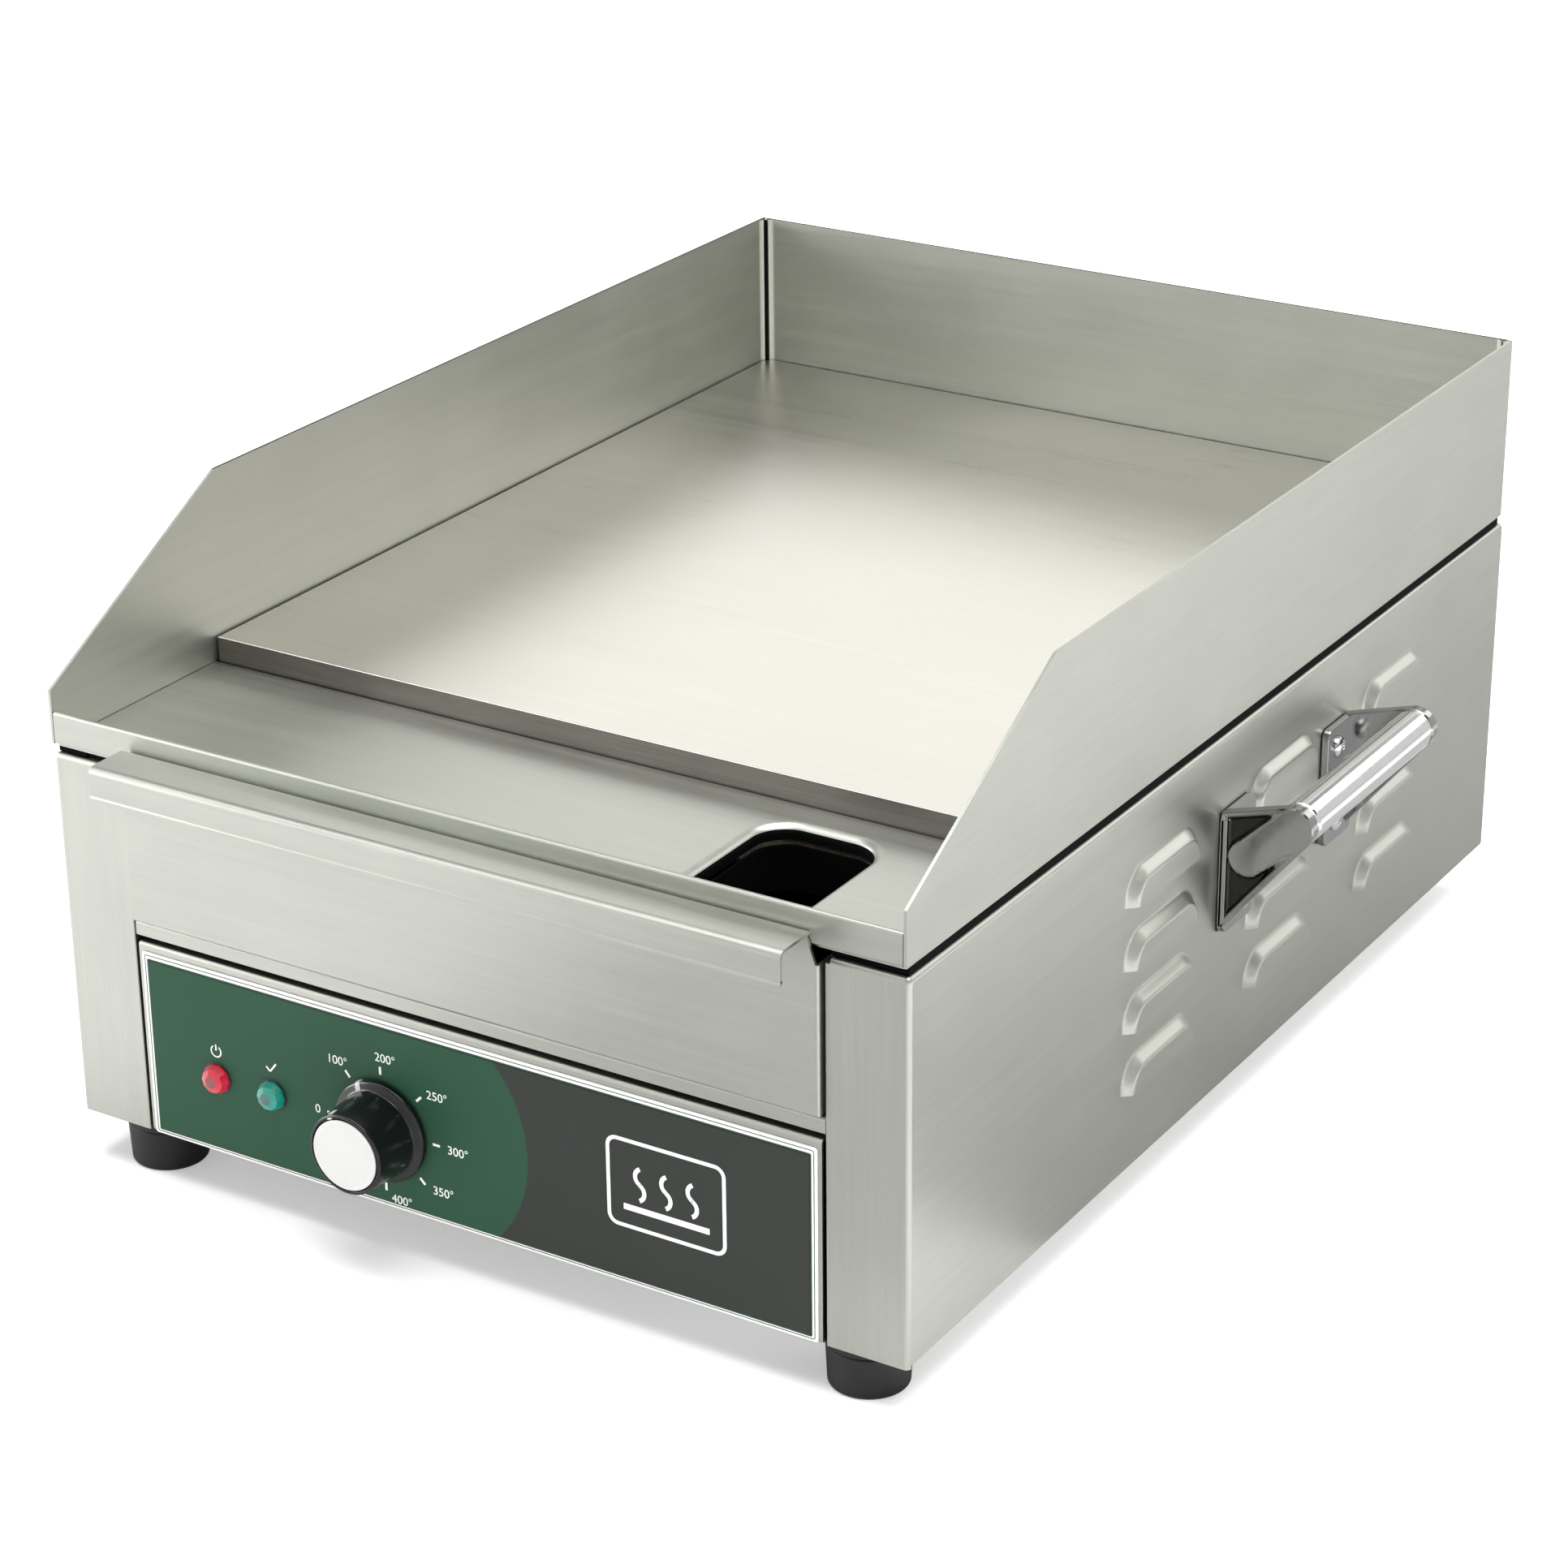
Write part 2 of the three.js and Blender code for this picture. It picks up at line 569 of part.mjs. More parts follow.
function addWiring() {
  const blockTop = 40;
  add(unit, "cable_gland", blackPlastic, cableGland());
  add(unit, "terminal_block", ceramic, block([90, 140], [410, 440], [BODY.bottom + SHEET + GAP, blockTop]));
  add(unit, "supply_lead", blackPlastic, smoothTube([
    [GLAND.x, 486, GLAND.z], [GLAND.x, 474, 58], [124, 462, 42], [124, 450, 34], [124, 440 + GAP, 33],
  ], 3.2, 8));
  add(unit, "element_lead", wireSleeve, smoothTube([
    [ELEMENT.first, ELEMENT.rear + GAP, ELEMENT.z], [ELEMENT.first, 482, 166], [34, 487, 150], [60, 486, 100],
    [92, 470, 52], [100, 452, 35], [100, 440 + 2 * GAP, 33],
  ], 1.8, 16, 6));
  add(unit, "thermostat_lead", wireSleeve, smoothTube([
    [112, 410 - GAP, 32], [112, 395, 32], [90, 330, 34], [20, 160, 36], [-24, 70, 40], [-26, 45 + 2 * GAP, 41],
  ], 1.8, 12, 6));
}

// ---- Grease drawer ---------------------------------------------------------------------------------------
// The front is one folded sheet: a face, side and bottom returns, and a hooked pull along its top edge.
function drawerFront() {
  const { half, bottom, top, face, chamfer } = DRAWER_FRONT;
  const back = face + SHEET;
  const sheet = alongY([
    [-half, bottom], [half, bottom], [half, top - chamfer[1]], [half - chamfer[0], top], [-half + chamfer[0], top],
    [-half, top - chamfer[1]],
  ], face, back);
  const outer = -PULL.reach;
  const pull = alongX([
    [back, top - 1], [back, PULL.top], [outer + 0.6, PULL.top], [outer, PULL.top - 0.6], [outer, PULL.top - PULL.drop],
    [outer + SHEET, PULL.top - PULL.drop], [outer + SHEET, PULL.top - SHEET], [face, PULL.top - SHEET],
    [face, top - 1],
  ], -PULL.half, PULL.half);
  const returnTop = top - chamfer[1] - 2;
  const side = (inner, outerX) => block([inner, outerX], [face + 0.1, DRAWER_FRONT.returns], [bottom, returnTop]);
  const under = block([-half + 1, half - 1], [face + 0.1, 12], [bottom, bottom + SHEET]);
  return joined(sheet, pull, side(-half, -half + SHEET), side(half - SHEET, half), under);
}

function drawerTray() {
  const { half, rear, bottom, top, sheet, flange } = DRAWER_TRAY;
  const front = DRAWER_FRONT.face + SHEET + GAP;
  const box = block([-half, half], [front, rear], [bottom, top]);
  const rims = block([-half - flange, half + flange], [front, rear], [top - sheet, top]);
  const inside = block([-half + sheet, half - sheet], [front + sheet, rear - sheet], [bottom + sheet, top + 5]);
  return cut(joined(box, rims), inside);
}

function drawerRunner() {
  const { inner, outer, level, top } = RUNNER;
  return alongY([
    [inner, level - SHEET], [outer, level - SHEET], [outer, top], [outer - SHEET, top], [outer - SHEET, level],
    [inner, level],
  ], RUNNER.front, RUNNER.rear);
}

function addDrawer() {
  add(unit, "drawer_front", brushedSteel, drawerFront());
  add(unit, "drawer_tray", galvanised, drawerTray());
  addPair("drawer_runner", galvanised, drawerRunner());
}

// ---- Side handles ----------------------------------------------------------------------------------------
// A bracket's web reaches from its foot on the panel to a round nose about the bar's axis.
function bracketWeb() {
  const root = BODY.half + GAP;
  const barX = BODY.half + HANDLE.barOut;
  const shape = new THREE.Shape();
  shape.moveTo(root, HANDLE_FOOT.bottom);
  shape.absarc(barX, HANDLE.barZ, HANDLE.barRadius, -Math.PI / 5, 0.58 * Math.PI);
  shape.lineTo(root, HANDLE_FOOT.top);
  return shape;
}

function handleBracket(webFrom, footFrom) {
  const root = BODY.half + GAP;
  const web = alongY(bracketWeb(), webFrom, webFrom + HANDLE.web);
  const foot = block([root, root + HANDLE_FOOT.thickness], [footFrom, footFrom + HANDLE_FOOT.reach],
    [HANDLE_FOOT.bottom, HANDLE_FOOT.top]);
  return joined(web, foot);
}

function addHandles() {
  const { front, rear, web, barRadius, barZ, barOut } = HANDLE;
  addPair("handle_front_bracket", chrome, handleBracket(front, front));
  addPair("handle_rear_bracket", chrome, handleBracket(rear - web, rear - HANDLE_FOOT.reach));
  addPair("handle_bar", chrome, pinAlongY(barRadius, BODY.half + barOut, barZ, front + web + GAP, rear - web - GAP));
}

addFeet();
addBody();
addTop();
addHeating();
addControls();
addWiring();
addDrawer();
addHandles();
unit.position.y = -CENTRE_Y;

export default unit;
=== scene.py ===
"""The looks of a countertop electric griddle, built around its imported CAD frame.

Lengths are millimetres until a mesh is made. +X is right, +Y is the back, +Z is up, and the origin lies
on the surface it stands on, under the middle of the griddle.
"""

import math

import bmesh
import bpy
from mathutils import Matrix, Vector


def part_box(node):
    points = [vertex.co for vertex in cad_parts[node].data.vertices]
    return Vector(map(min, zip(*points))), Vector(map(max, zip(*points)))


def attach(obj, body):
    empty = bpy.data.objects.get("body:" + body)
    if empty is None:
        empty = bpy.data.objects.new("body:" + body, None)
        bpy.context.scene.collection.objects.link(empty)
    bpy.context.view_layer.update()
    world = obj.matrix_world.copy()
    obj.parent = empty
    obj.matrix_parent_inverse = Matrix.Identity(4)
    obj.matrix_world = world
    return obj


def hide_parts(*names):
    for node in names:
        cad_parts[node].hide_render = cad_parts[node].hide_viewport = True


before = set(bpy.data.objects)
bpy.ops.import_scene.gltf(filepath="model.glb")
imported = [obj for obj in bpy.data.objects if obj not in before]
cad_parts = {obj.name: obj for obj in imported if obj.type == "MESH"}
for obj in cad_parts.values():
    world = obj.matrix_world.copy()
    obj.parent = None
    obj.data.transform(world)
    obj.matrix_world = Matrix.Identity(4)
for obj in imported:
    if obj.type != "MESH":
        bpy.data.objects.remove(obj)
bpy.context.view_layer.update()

MM = 0.001


def limits(node):
    """A CAD node's lowest and highest corners, in millimetres."""
    low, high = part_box(node)
    return low / MM, high / MM


def middle(low, high):
    return (low + high) / 2


# ---- Places taken from the frame -------------------------------------------------------------------------
POST_LOW, POST_HIGH = limits("right_front_post")
SIDE_LOW, SIDE_HIGH = limits("right_side_panel")
LIP_LOW, LIP_HIGH = limits("trough_lip")
GUARD_LOW, GUARD_HIGH = limits("right_splash_guard")
REAR_GUARD_LOW, REAR_GUARD_HIGH = limits("rear_splash_guard")
FLOOR_LOW, FLOOR_HIGH = limits("trough_floor")
CHUTE_LOW, CHUTE_HIGH = limits("drain_chute")
PLATE_LOW, PLATE_HIGH = limits("griddle_plate")
RAIL_LOW, RAIL_HIGH = limits("front_cross_rail")
CONTROL_LOW, CONTROL_HIGH = limits("control_panel")
LABEL_LOW, LABEL_HIGH = limits("panel_label")
DRAWER_LOW, DRAWER_HIGH = limits("drawer_front")
TRAY_LOW, TRAY_HIGH = limits("drawer_tray")
KNOB_LOW, KNOB_HIGH = limits("knob_body")
CAP_LOW, CAP_HIGH = limits("knob_cap")
BRACKET_LOW, BRACKET_HIGH = limits("right_handle_front_bracket")
REAR_BRACKET_LOW, REAR_BRACKET_HIGH = limits("right_handle_rear_bracket")
BAR_LOW, BAR_HIGH = limits("right_handle_bar")
REAR_LOW, REAR_HIGH = limits("rear_panel")
GLAND_LOW, GLAND_HIGH = limits("cable_gland")

SHEET = 1.2
LIP_FACE = LIP_LOW.y  # the front face of the trough's lip, which depths are measured from
BODY_HALF = POST_HIGH.x

# ---- Sizes of the finer shapes ---------------------------------------------------------------------------
BEND = 2.0  # outer radius of the body's folds
ARC_STEPS = 6
QUARTER_TURN = [math.pi / 2 * step / ARC_STEPS for step in range(ARC_STEPS + 1)]

GUARD_NOSE = 21.1  # height of a side guard's front end
GUARD_SLOPE = 100.5  # how far back it slopes up to its full height

LOUVRE = {"width": 57.5, "height": 14.0, "slope": 4.6, "corner": 13.4, "columns": 3, "rows": 4}
LOUVRE["proud"] = SIDE_HIGH.x - BODY_HALF
LOUVRE_FIRST = (LIP_FACE + 155.3, 55.7)  # front lower corner of the first one, in Y and Z
LOUVRE_PITCH = (102.3, 25.65)

DRAIN = {"left": 83.0, "right": 129.5, "front": LIP_FACE + 12, "rear": LIP_FACE + 78, "corner": 13.0}
DRAIN_BEND = 4.0
SHADE_BELOW = 0.42 * DRAIN_BEND  # how far down that bend the drain's painted shade starts
PRINT = 0.08  # thickness of what is printed on the front

KNOB_CENTRE = (middle(KNOB_LOW.x, KNOB_HIGH.x), middle(KNOB_LOW.z, KNOB_HIGH.z))
KNOB_POINTER = 114  # degrees anticlockwise from +X, seen from the front
DIAL_RADIUS = 24.0
NUMBER_SIZE = 5.0
GREEN_CIRCLE = {"x": -26.0, "z": 59.0, "radius": 52.9}


# ---- Outlines --------------------------------------------------------------------------------------------
def rounded_path(corners, radius, closed=False, steps=ARC_STEPS):
    """A polyline through (u, v) corners with arcs at the turns. A corner may carry its own radius."""
    points = []
    count = len(corners)
    for index, corner in enumerate(corners):
        here = Vector(corner[:2])
        turn_radius = corner[2] if len(corner) > 2 else radius
        at_end = not closed and index in (0, count - 1)
        if at_end or turn_radius == 0:
            points.append(here)
            continue
        before = (here - Vector(corners[index - 1][:2])).normalized()
        after = (Vector(corners[(index + 1) % count][:2]) - here).normalized()
        turn = before.angle_signed(after)
        if abs(turn) < 1e-4:
            points.append(here)
            continue
        back = turn_radius * math.tan(abs(turn) / 2)
        start = here - before * back
        side = Vector((before.y, -before.x)) * math.copysign(1, turn)
        centre = start + side * turn_radius
        for step in range(steps + 1):
            spin = Matrix.Rotation(-turn * step / steps, 2)
            points.append(centre + spin @ (start - centre))
    return points


def offset_path(path, distance, closed=False):
    """The path moved to its left by a distance, with mitred corners."""
    moved = []
    count = len(path)
    for index, point in enumerate(path):
        has_before = closed or index > 0
        has_after = closed or index < count - 1
        before = (point - path[index - 1]).normalized() if has_before else None
        after = (path[(index + 1) % count] - point).normalized() if has_after else None
        before = before or after
        after = after or before
        normal = Vector((-before.y - after.y, before.x + after.x)).normalized()
        mitre = normal.dot(Vector((-before.y, before.x)))
        moved.append(point + normal * distance / max(mitre, 0.3))
    return moved


def rounded_rectangle(low, high, radius, steps=ARC_STEPS):
    """A closed outline, anticlockwise, with the same number of points whatever its size."""
    corners = [(low[0], low[1]), (high[0], low[1]), (high[0], high[1]), (low[0], high[1])]
    return rounded_path(corners, radius, closed=True, steps=steps)


def ease(share, rounding=0.25):
    """From 0 to 1 along a straight slope whose two ends are rounded."""
    share = min(max(share, 0.0), 1.0)
    bend = 2 * rounding * (1 - rounding)
    if share < rounding:
        return share * share / bend
    if share > 1 - rounding:
        return 1 - (1 - share) ** 2 / bend
    return (share - rounding / 2) / (1 - rounding)


# ---- Meshes ----------------------------------------------------------------------------------------------
PLACE = {
    "x": lambda u, v, w: (w, u, v),
    "y": lambda u, v, w: (u, w, v),
    "z": lambda u, v, w: (u, v, w),
}


def make_piece(name, vertices, faces, bevel=0.0, bevel_segments=2, smooth_angle=35, merge=0.001, flat=False):
    """One object from vertices in millimetres: merged, faces outward, edges eased, normals weighted."""
    mesh = bpy.data.meshes.new(name)
    mesh.from_pydata([Vector(v) * MM for v in vertices], [], faces)
    work = bmesh.new()
    work.from_mesh(mesh)
    bmesh.ops.remove_doubles(work, verts=work.verts, dist=merge * MM)
    bmesh.ops.recalc_face_normals(work, faces=work.faces)
    work.to_mesh(mesh)
    work.free()
    piece = bpy.data.objects.new(name, mesh)
    bpy.context.scene.collection.objects.link(piece)
    if bevel:
        edges = piece.modifiers.new("eased_edges", "BEVEL")
        edges.width = bevel * MM
        edges.segments = bevel_segments
        edges.limit_method = "ANGLE"
        edges.angle_limit = math.radians(40)
        apply_modifiers(piece)
    shade(piece, smooth_angle, flat)
    return piece


def apply_modifiers(piece):
    graph = bpy.context.evaluated_depsgraph_get()
    mesh = bpy.data.meshes.new_from_object(piece.evaluated_get(graph))
    piece.modifiers.clear()
    piece.data = mesh


def shade(piece, smooth_angle=35, flat=False):
    mesh = piece.data
    mesh.polygons.foreach_set("use_smooth", [not flat] * len(mesh.polygons))
    if flat:
        return
    mesh.set_sharp_from_angle(angle=math.radians(smooth_angle))
    weighted = piece.modifiers.new("weighted_normals", "WEIGHTED_NORMAL")
    weighted.keep_sharp = True
    weighted.weight = 100


def fit_pair(piece, left_name, slot, material, node=None):
    """Fits a right-hand piece of the griddle and its mirror image, which stand for a pair of CAD nodes."""
    for side, one in (("left", mirrored(piece, left_name)), ("right", piece)):
        fit(one, "griddle", slot, material, *([f"{side}_{node}"] if node else []))


def fit(piece, body, slot, material, *replaced):
    """Rides the piece on a body and gives it its finish and the CAD nodes that it stands for."""
    if piece.data.materials:
        piece.data.materials[0] = material
    else:
        piece.data.materials.append(material)
    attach(piece, body)
    if replaced:
        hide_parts(*replaced)
    return piece


def accent(piece, base, second, chosen):
    """A second finish for the faces that chosen picks by their centre, in millimetres, and their normal."""
    piece.data.materials.append(base)
    piece.data.materials.append(second)
    for face in piece.data.polygons:
        face.material_index = 1 if chosen(face.center / MM, face.normal) else 0
    return piece


def mirrored(piece, name):
    """A copy of the piece on the other side of the middle plane."""
    mesh = piece.data.copy()
    mesh.transform(Matrix.Scale(-1, 4, (1, 0, 0)))
    mesh.flip_normals()
    twin = bpy.data.objects.new(name, mesh)
    bpy.context.scene.collection.objects.link(twin)
    shade(twin)
    return twin


def folded_sheet(name, outer, thickness, axis, start, stop, inner=None, **finish):
    """A sheet along a path of (u, v) points, run along an axis. Start and stop may differ by point."""
    inner = inner or offset_path(outer, thickness)
    count = len(outer)
    starts = start if isinstance(start, list) else [start] * count
    stops = stop if isinstance(stop, list) else [stop] * count
    place = PLACE[axis]
    vertices = []
    for index in range(count):
        for side in (outer, inner):
            for end in (starts, stops):
                vertices.append(place(side[index][0], side[index][1], end[index]))
    faces = []
    for index in range(count - 1):
        a, b = 4 * index, 4 * (index + 1)
        faces += [(a, b, b + 1, a + 1), (a + 2, a + 3, b + 3, b + 2)]
        faces += [(a, a + 2, b + 2, b), (a + 1, b + 1, b + 3, a + 3)]
    for a in (0, 4 * (count - 1)):
        faces.append((a, a + 1, a + 3, a + 2))
    return make_piece(name, vertices, faces, **finish)


def prism(name, outline, axis, start, stop, **finish):
    """A closed outline run straight along an axis."""
    place = PLACE[axis]
    count = len(outline)
    vertices = [place(u, v, end) for end in (start, stop) for u, v in outline]
    faces = [tuple(range(count)), tuple(range(2 * count - 1, count - 1, -1))]
    for index in range(count):
        after = (index + 1) % count
        faces.append((index, after, count + after, count + index))
    return make_piece(name, vertices, faces, **finish)


def block(name, low, high, **finish):
    corners = [(low[0], low[1]), (high[0], low[1]), (high[0], high[1]), (low[0], high[1])]
    return prism(name, corners, "z", low[2], high[2], **finish)


AIM = {
    "up": lambda r, s, h: (r, s, h),
    "front": lambda r, s, h: (r, -h, s),
    "back": lambda r, s, h: (-r, h, s),
    "right": lambda r, s, h: (h, r, s),
    "left": lambda r, s, h: (-h, -r, s),
}


def ring_faces(rings, sides, closed_loop):
    """Quads between successive rings of vertices."""
    faces = []
    last = rings if closed_loop else rings - 1
    for ring in range(last):
        following = (ring + 1) % rings
        for side in range(sides):
            after = (side + 1) % sides
            faces.append((ring * sides + side, ring * sides + after, following * sides + after,
                          following * sides + side))
    return faces


def turned(name, profile, centre, aim, sides=64, **finish):
    """A profile of (radius, height) turned about an axis. It ends on the axis or on itself."""
    on_axis = profile[0][0] == 0
    place = AIM[aim]
    vertices = []
    for radius, height in profile:
        for side in range(sides):
            angle = 2 * math.pi * side / sides
            x, y, z = place(radius * math.cos(angle), radius * math.sin(angle), height)
            vertices.append((centre[0] + x, centre[1] + y, centre[2] + z))
    faces = ring_faces(len(profile), sides, not on_axis)
    return make_piece(name, vertices, faces, **finish)


def stacked_loops(name, loops, cap_first=False, cap_last=False, closed_loop=False, **finish):
    """Loops of (x, y, z) points, all with the same count, joined one to the next."""
    sides = len(loops[0])
    vertices = [point for loop in loops for point in loop]
    faces = ring_faces(len(loops), sides, closed_loop)
    if cap_first:
        faces.append(tuple(range(sides)))
    if cap_last:
        first = (len(loops) - 1) * sides
        faces.append(tuple(range(first, first + sides)))
    return make_piece(name, vertices, faces, **finish)


def joined(name, *pieces):
    """Several pieces made into one object, which keeps the first one's material slots."""
    work = bmesh.new()
    for piece in pieces:
        work.from_mesh(piece.data)
    mesh = bpy.data.meshes.new(name)
    work.to_mesh(mesh)
    work.free()
    for piece in pieces:
        bpy.data.objects.remove(piece)
    whole = bpy.data.objects.new(name, mesh)
    bpy.context.scene.collection.objects.link(whole)
    shade(whole)
    return whole


def lettering(name, text, size, centre):
    """Flat numbers on the front face, centred on a point."""
    curve = bpy.data.curves.new(name, "FONT")
    curve.body = text
    curve.size = size * MM
    curve.extrude = PRINT * MM / 2
    curve.align_x = "CENTER"
    curve.align_y = "CENTER"
    maker = bpy.data.objects.new(name + "_curve", curve)
    bpy.context.scene.collection.objects.link(maker)
    graph = bpy.context.evaluated_depsgraph_get()
    mesh = bpy.data.meshes.new_from_object(maker.evaluated_get(graph))
    bpy.data.objects.remove(maker)
    mesh.transform(Matrix.Translation(Vector(centre) * MM) @ Matrix.Rotation(math.pi / 2, 4, "X"))
    piece = bpy.data.objects.new(name, mesh)
    bpy.context.scene.collection.objects.link(piece)
    return piece


# ---- Materials -------------------------------------------------------------------------------------------
def principled(name, colour, roughness, metallic=0.0, **sockets):
    material = bpy.data.materials.new(name)
    material.use_nodes = True
    shader = material.node_tree.nodes["Principled BSDF"]
    shader.inputs["Base Color"].default_value = (*colour, 1)
    shader.inputs["Roughness"].default_value = roughness
    shader.inputs["Metallic"].default_value = metallic
    for socket, value in sockets.items():
        shader.inputs[socket.replace("_", " ")].default_value = value
    return material


def shader_of(material):
    return material.node_tree.nodes["Principled BSDF"]


def noise(material, per_metre, detail=3.0, roughness=0.55):
    """Noise in the object's own space, with its own number of waves per metre along X, Y and Z."""
    nodes, links = material.node_tree.nodes, material.node_tree.links
    place = nodes.new("ShaderNodeTexCoord")
    stretch = nodes.new("ShaderNodeMapping")
    stretch.inputs["Scale"].default_value = per_metre
    texture = nodes.new("ShaderNodeTexNoise")
    texture.inputs["Scale"].default_value = 1.0
    texture.inputs["Detail"].default_value = detail
    texture.inputs["Roughness"].default_value = roughness
    links.new(place.outputs["Object"], stretch.inputs["Vector"])
    links.new(stretch.outputs["Vector"], texture.inputs["Vector"])
    return texture.outputs["Fac"]


def blend(material, first, second, share):
    """first * (1 - share) + second * share."""
    nodes, links = material.node_tree.nodes, material.node_tree.links
    mix = nodes.new("ShaderNodeMix")
    mix.inputs["Factor"].default_value = share
    links.new(first, mix.inputs["A"])
    links.new(second, mix.inputs["B"])
    return mix.outputs["Result"]


def tint(material, mask, dark, light, low=0.3, high=0.7):
    """The base colour runs from dark to light as the mask goes from low to high."""
    nodes, links = material.node_tree.nodes, material.node_tree.links
    ramp = nodes.new("ShaderNodeValToRGB")
    ramp.color_ramp.elements[0].position = low
    ramp.color_ramp.elements[0].color = (*dark, 1)
    ramp.color_ramp.elements[1].position = high
    ramp.color_ramp.elements[1].color = (*light, 1)
    links.new(mask, ramp.inputs["Fac"])
    links.new(ramp.outputs["Color"], shader_of(material).inputs["Base Color"])


def vary_roughness(material, mask, low, high):
    nodes, links = material.node_tree.nodes, material.node_tree.links
    spread = nodes.new("ShaderNodeMapRange")
    spread.inputs["From Min"].default_value = 0.3
    spread.inputs["From Max"].default_value = 0.7
    spread.inputs["To Min"].default_value = low
    spread.inputs["To Max"].default_value = high
    links.new(mask, spread.inputs["Value"])
    links.new(spread.outputs["Result"], shader_of(material).inputs["Roughness"])


def bump(material, mask, depth, strength=1.0):
    """Raises the surface by the mask, with a depth in millimetres."""
    nodes, links = material.node_tree.nodes, material.node_tree.links
    relief = nodes.new("ShaderNodeBump")
    relief.inputs["Strength"].default_value = strength
    relief.inputs["Distance"].default_value = depth * MM
    links.new(mask, relief.inputs["Height"])
    links.new(relief.outputs["Normal"], shader_of(material).inputs["Normal"])


def scaled(colour, factor):
    return tuple(min(1.0, channel * factor) for channel in colour)


def brushed(name, colour, along, roughness=0.38, contrast=0.10, relief=0.004, grain=(26, 1700)):
    """Metal with fine parallel grain along one axis, broader streaks, and a faint cloudy wear."""
    material = principled(name, colour, roughness, metallic=1.0)
    length, width = grain
    fine = noise(material, [length if axis == along else width for axis in "xyz"], detail=4)
    streak = noise(material, [length / 5 if axis == along else width / 6 for axis in "xyz"], detail=3)
    cloud = noise(material, (14, 14, 14), detail=4)
    grain_mask = blend(material, fine, streak, 0.45)
    wear = blend(material, grain_mask, cloud, 0.35)
    tint(material, wear, scaled(colour, 1 - contrast), scaled(colour, 1 + contrast))
    vary_roughness(material, wear, roughness - 0.05, roughness + 0.06)
    bump(material, grain_mask, relief, 0.35)
    return material


def speckled(name, colour, roughness, metallic=0.0, scale=900, contrast=0.12, relief=0.01, **sockets):
    """A finish with an even fine texture, such as moulded plastic, rubber or zinc."""
    material = principled(name, colour, roughness, metallic, **sockets)
    fine = noise(material, (scale, scale, scale), detail=2)
    cloud = noise(material, (30, 30, 30), detail=3)
    mask = blend(material, fine, cloud, 0.4)
    tint(material, mask, scaled(colour, 1 - contrast), scaled(colour, 1 + contrast))
    vary_roughness(material, mask, max(0.02, roughness - 0.06), min(1.0, roughness + 0.06))
    bump(material, fine, relief, 0.4)
    return material


STEEL = (0.450, 0.460, 0.420)
STEEL_X = brushed("steel_grain_x", STEEL, "x")
STEEL_Y = brushed("steel_grain_y", STEEL, "y")
STEEL_Z = brushed("steel_grain_z", STEEL, "z")
GUARD_Y = brushed("guard_grain_y", STEEL, "y", roughness=0.47)
GUARD_X = brushed("guard_grain_x", STEEL, "x", roughness=0.47)
# A paler, part-diffuse steel for the guards' turned-in corner bends: a painted highlight along each bend.
GUARD_BEND_HIGHLIGHT = speckled("guard_bend_painted_highlight", (0.62, 0.62, 0.57), 0.5, metallic=0.75, scale=600, contrast=0.05,
                      relief=0.002)
# Near-black for the guards' top edges: a painted shade line along each top edge.
TOP_EDGE_SHADE = speckled("cut_edge", (0.045, 0.045, 0.040), 0.6, scale=700, Specular_IOR_Level=0.1)
GROUND_PLATE = brushed("ground_plate", (0.61, 0.60, 0.55), "x", roughness=0.30, contrast=0.05, grain=(9, 900))
PLATE_EDGE = brushed("plate_edge", (0.245, 0.232, 0.212), "x", roughness=0.5, contrast=0.3)
# A near-white steel for the plate's eased top edge: a painted highlight.
GROUND_EDGE_HIGHLIGHT = brushed("ground_edge_painted_highlight", (0.93, 0.92, 0.88), "x", roughness=0.25, contrast=0.04)
ZINC = speckled("zinc_coat", (0.46, 0.47, 0.47), 0.42, metallic=1.0, scale=160, contrast=0.15)
CHROME = speckled("chrome", (0.70, 0.70, 0.70), 0.10, metallic=1.0, scale=300, contrast=0.03, relief=0.0005)
CAST_CHROME = speckled("cast_chrome", (0.33, 0.33, 0.33), 0.16, metallic=1.0, scale=300, contrast=0.06,
                       relief=0.002)
# Near-black chrome for the hollow in each bracket's side: painted shade in the hollow.
CAST_HOLLOW_SHADE = speckled("cast_hollow_painted_shade", (0.035, 0.035, 0.035), 0.32, metallic=1.0, scale=500, contrast=0.15)
SHEATH = speckled("element_sheath", (0.13, 0.115, 0.10), 0.5, metallic=1.0, scale=400)
RUBBER = speckled("rubber", (0.008, 0.008, 0.0075), 0.62, scale=1500, relief=0.03)
BLACK_PLASTIC = speckled("black_plastic", (0.005, 0.005, 0.006), 0.22, scale=1200, relief=0.004,
                         Coat_Weight=0.1)
# Near-black for the inside of the drain: painted shade in the hole.
DRAIN_SHADE_BLACK = speckled("drain_painted_shade", (0.0015, 0.0018, 0.002), 0.8, scale=600, Specular_IOR_Level=0.05)
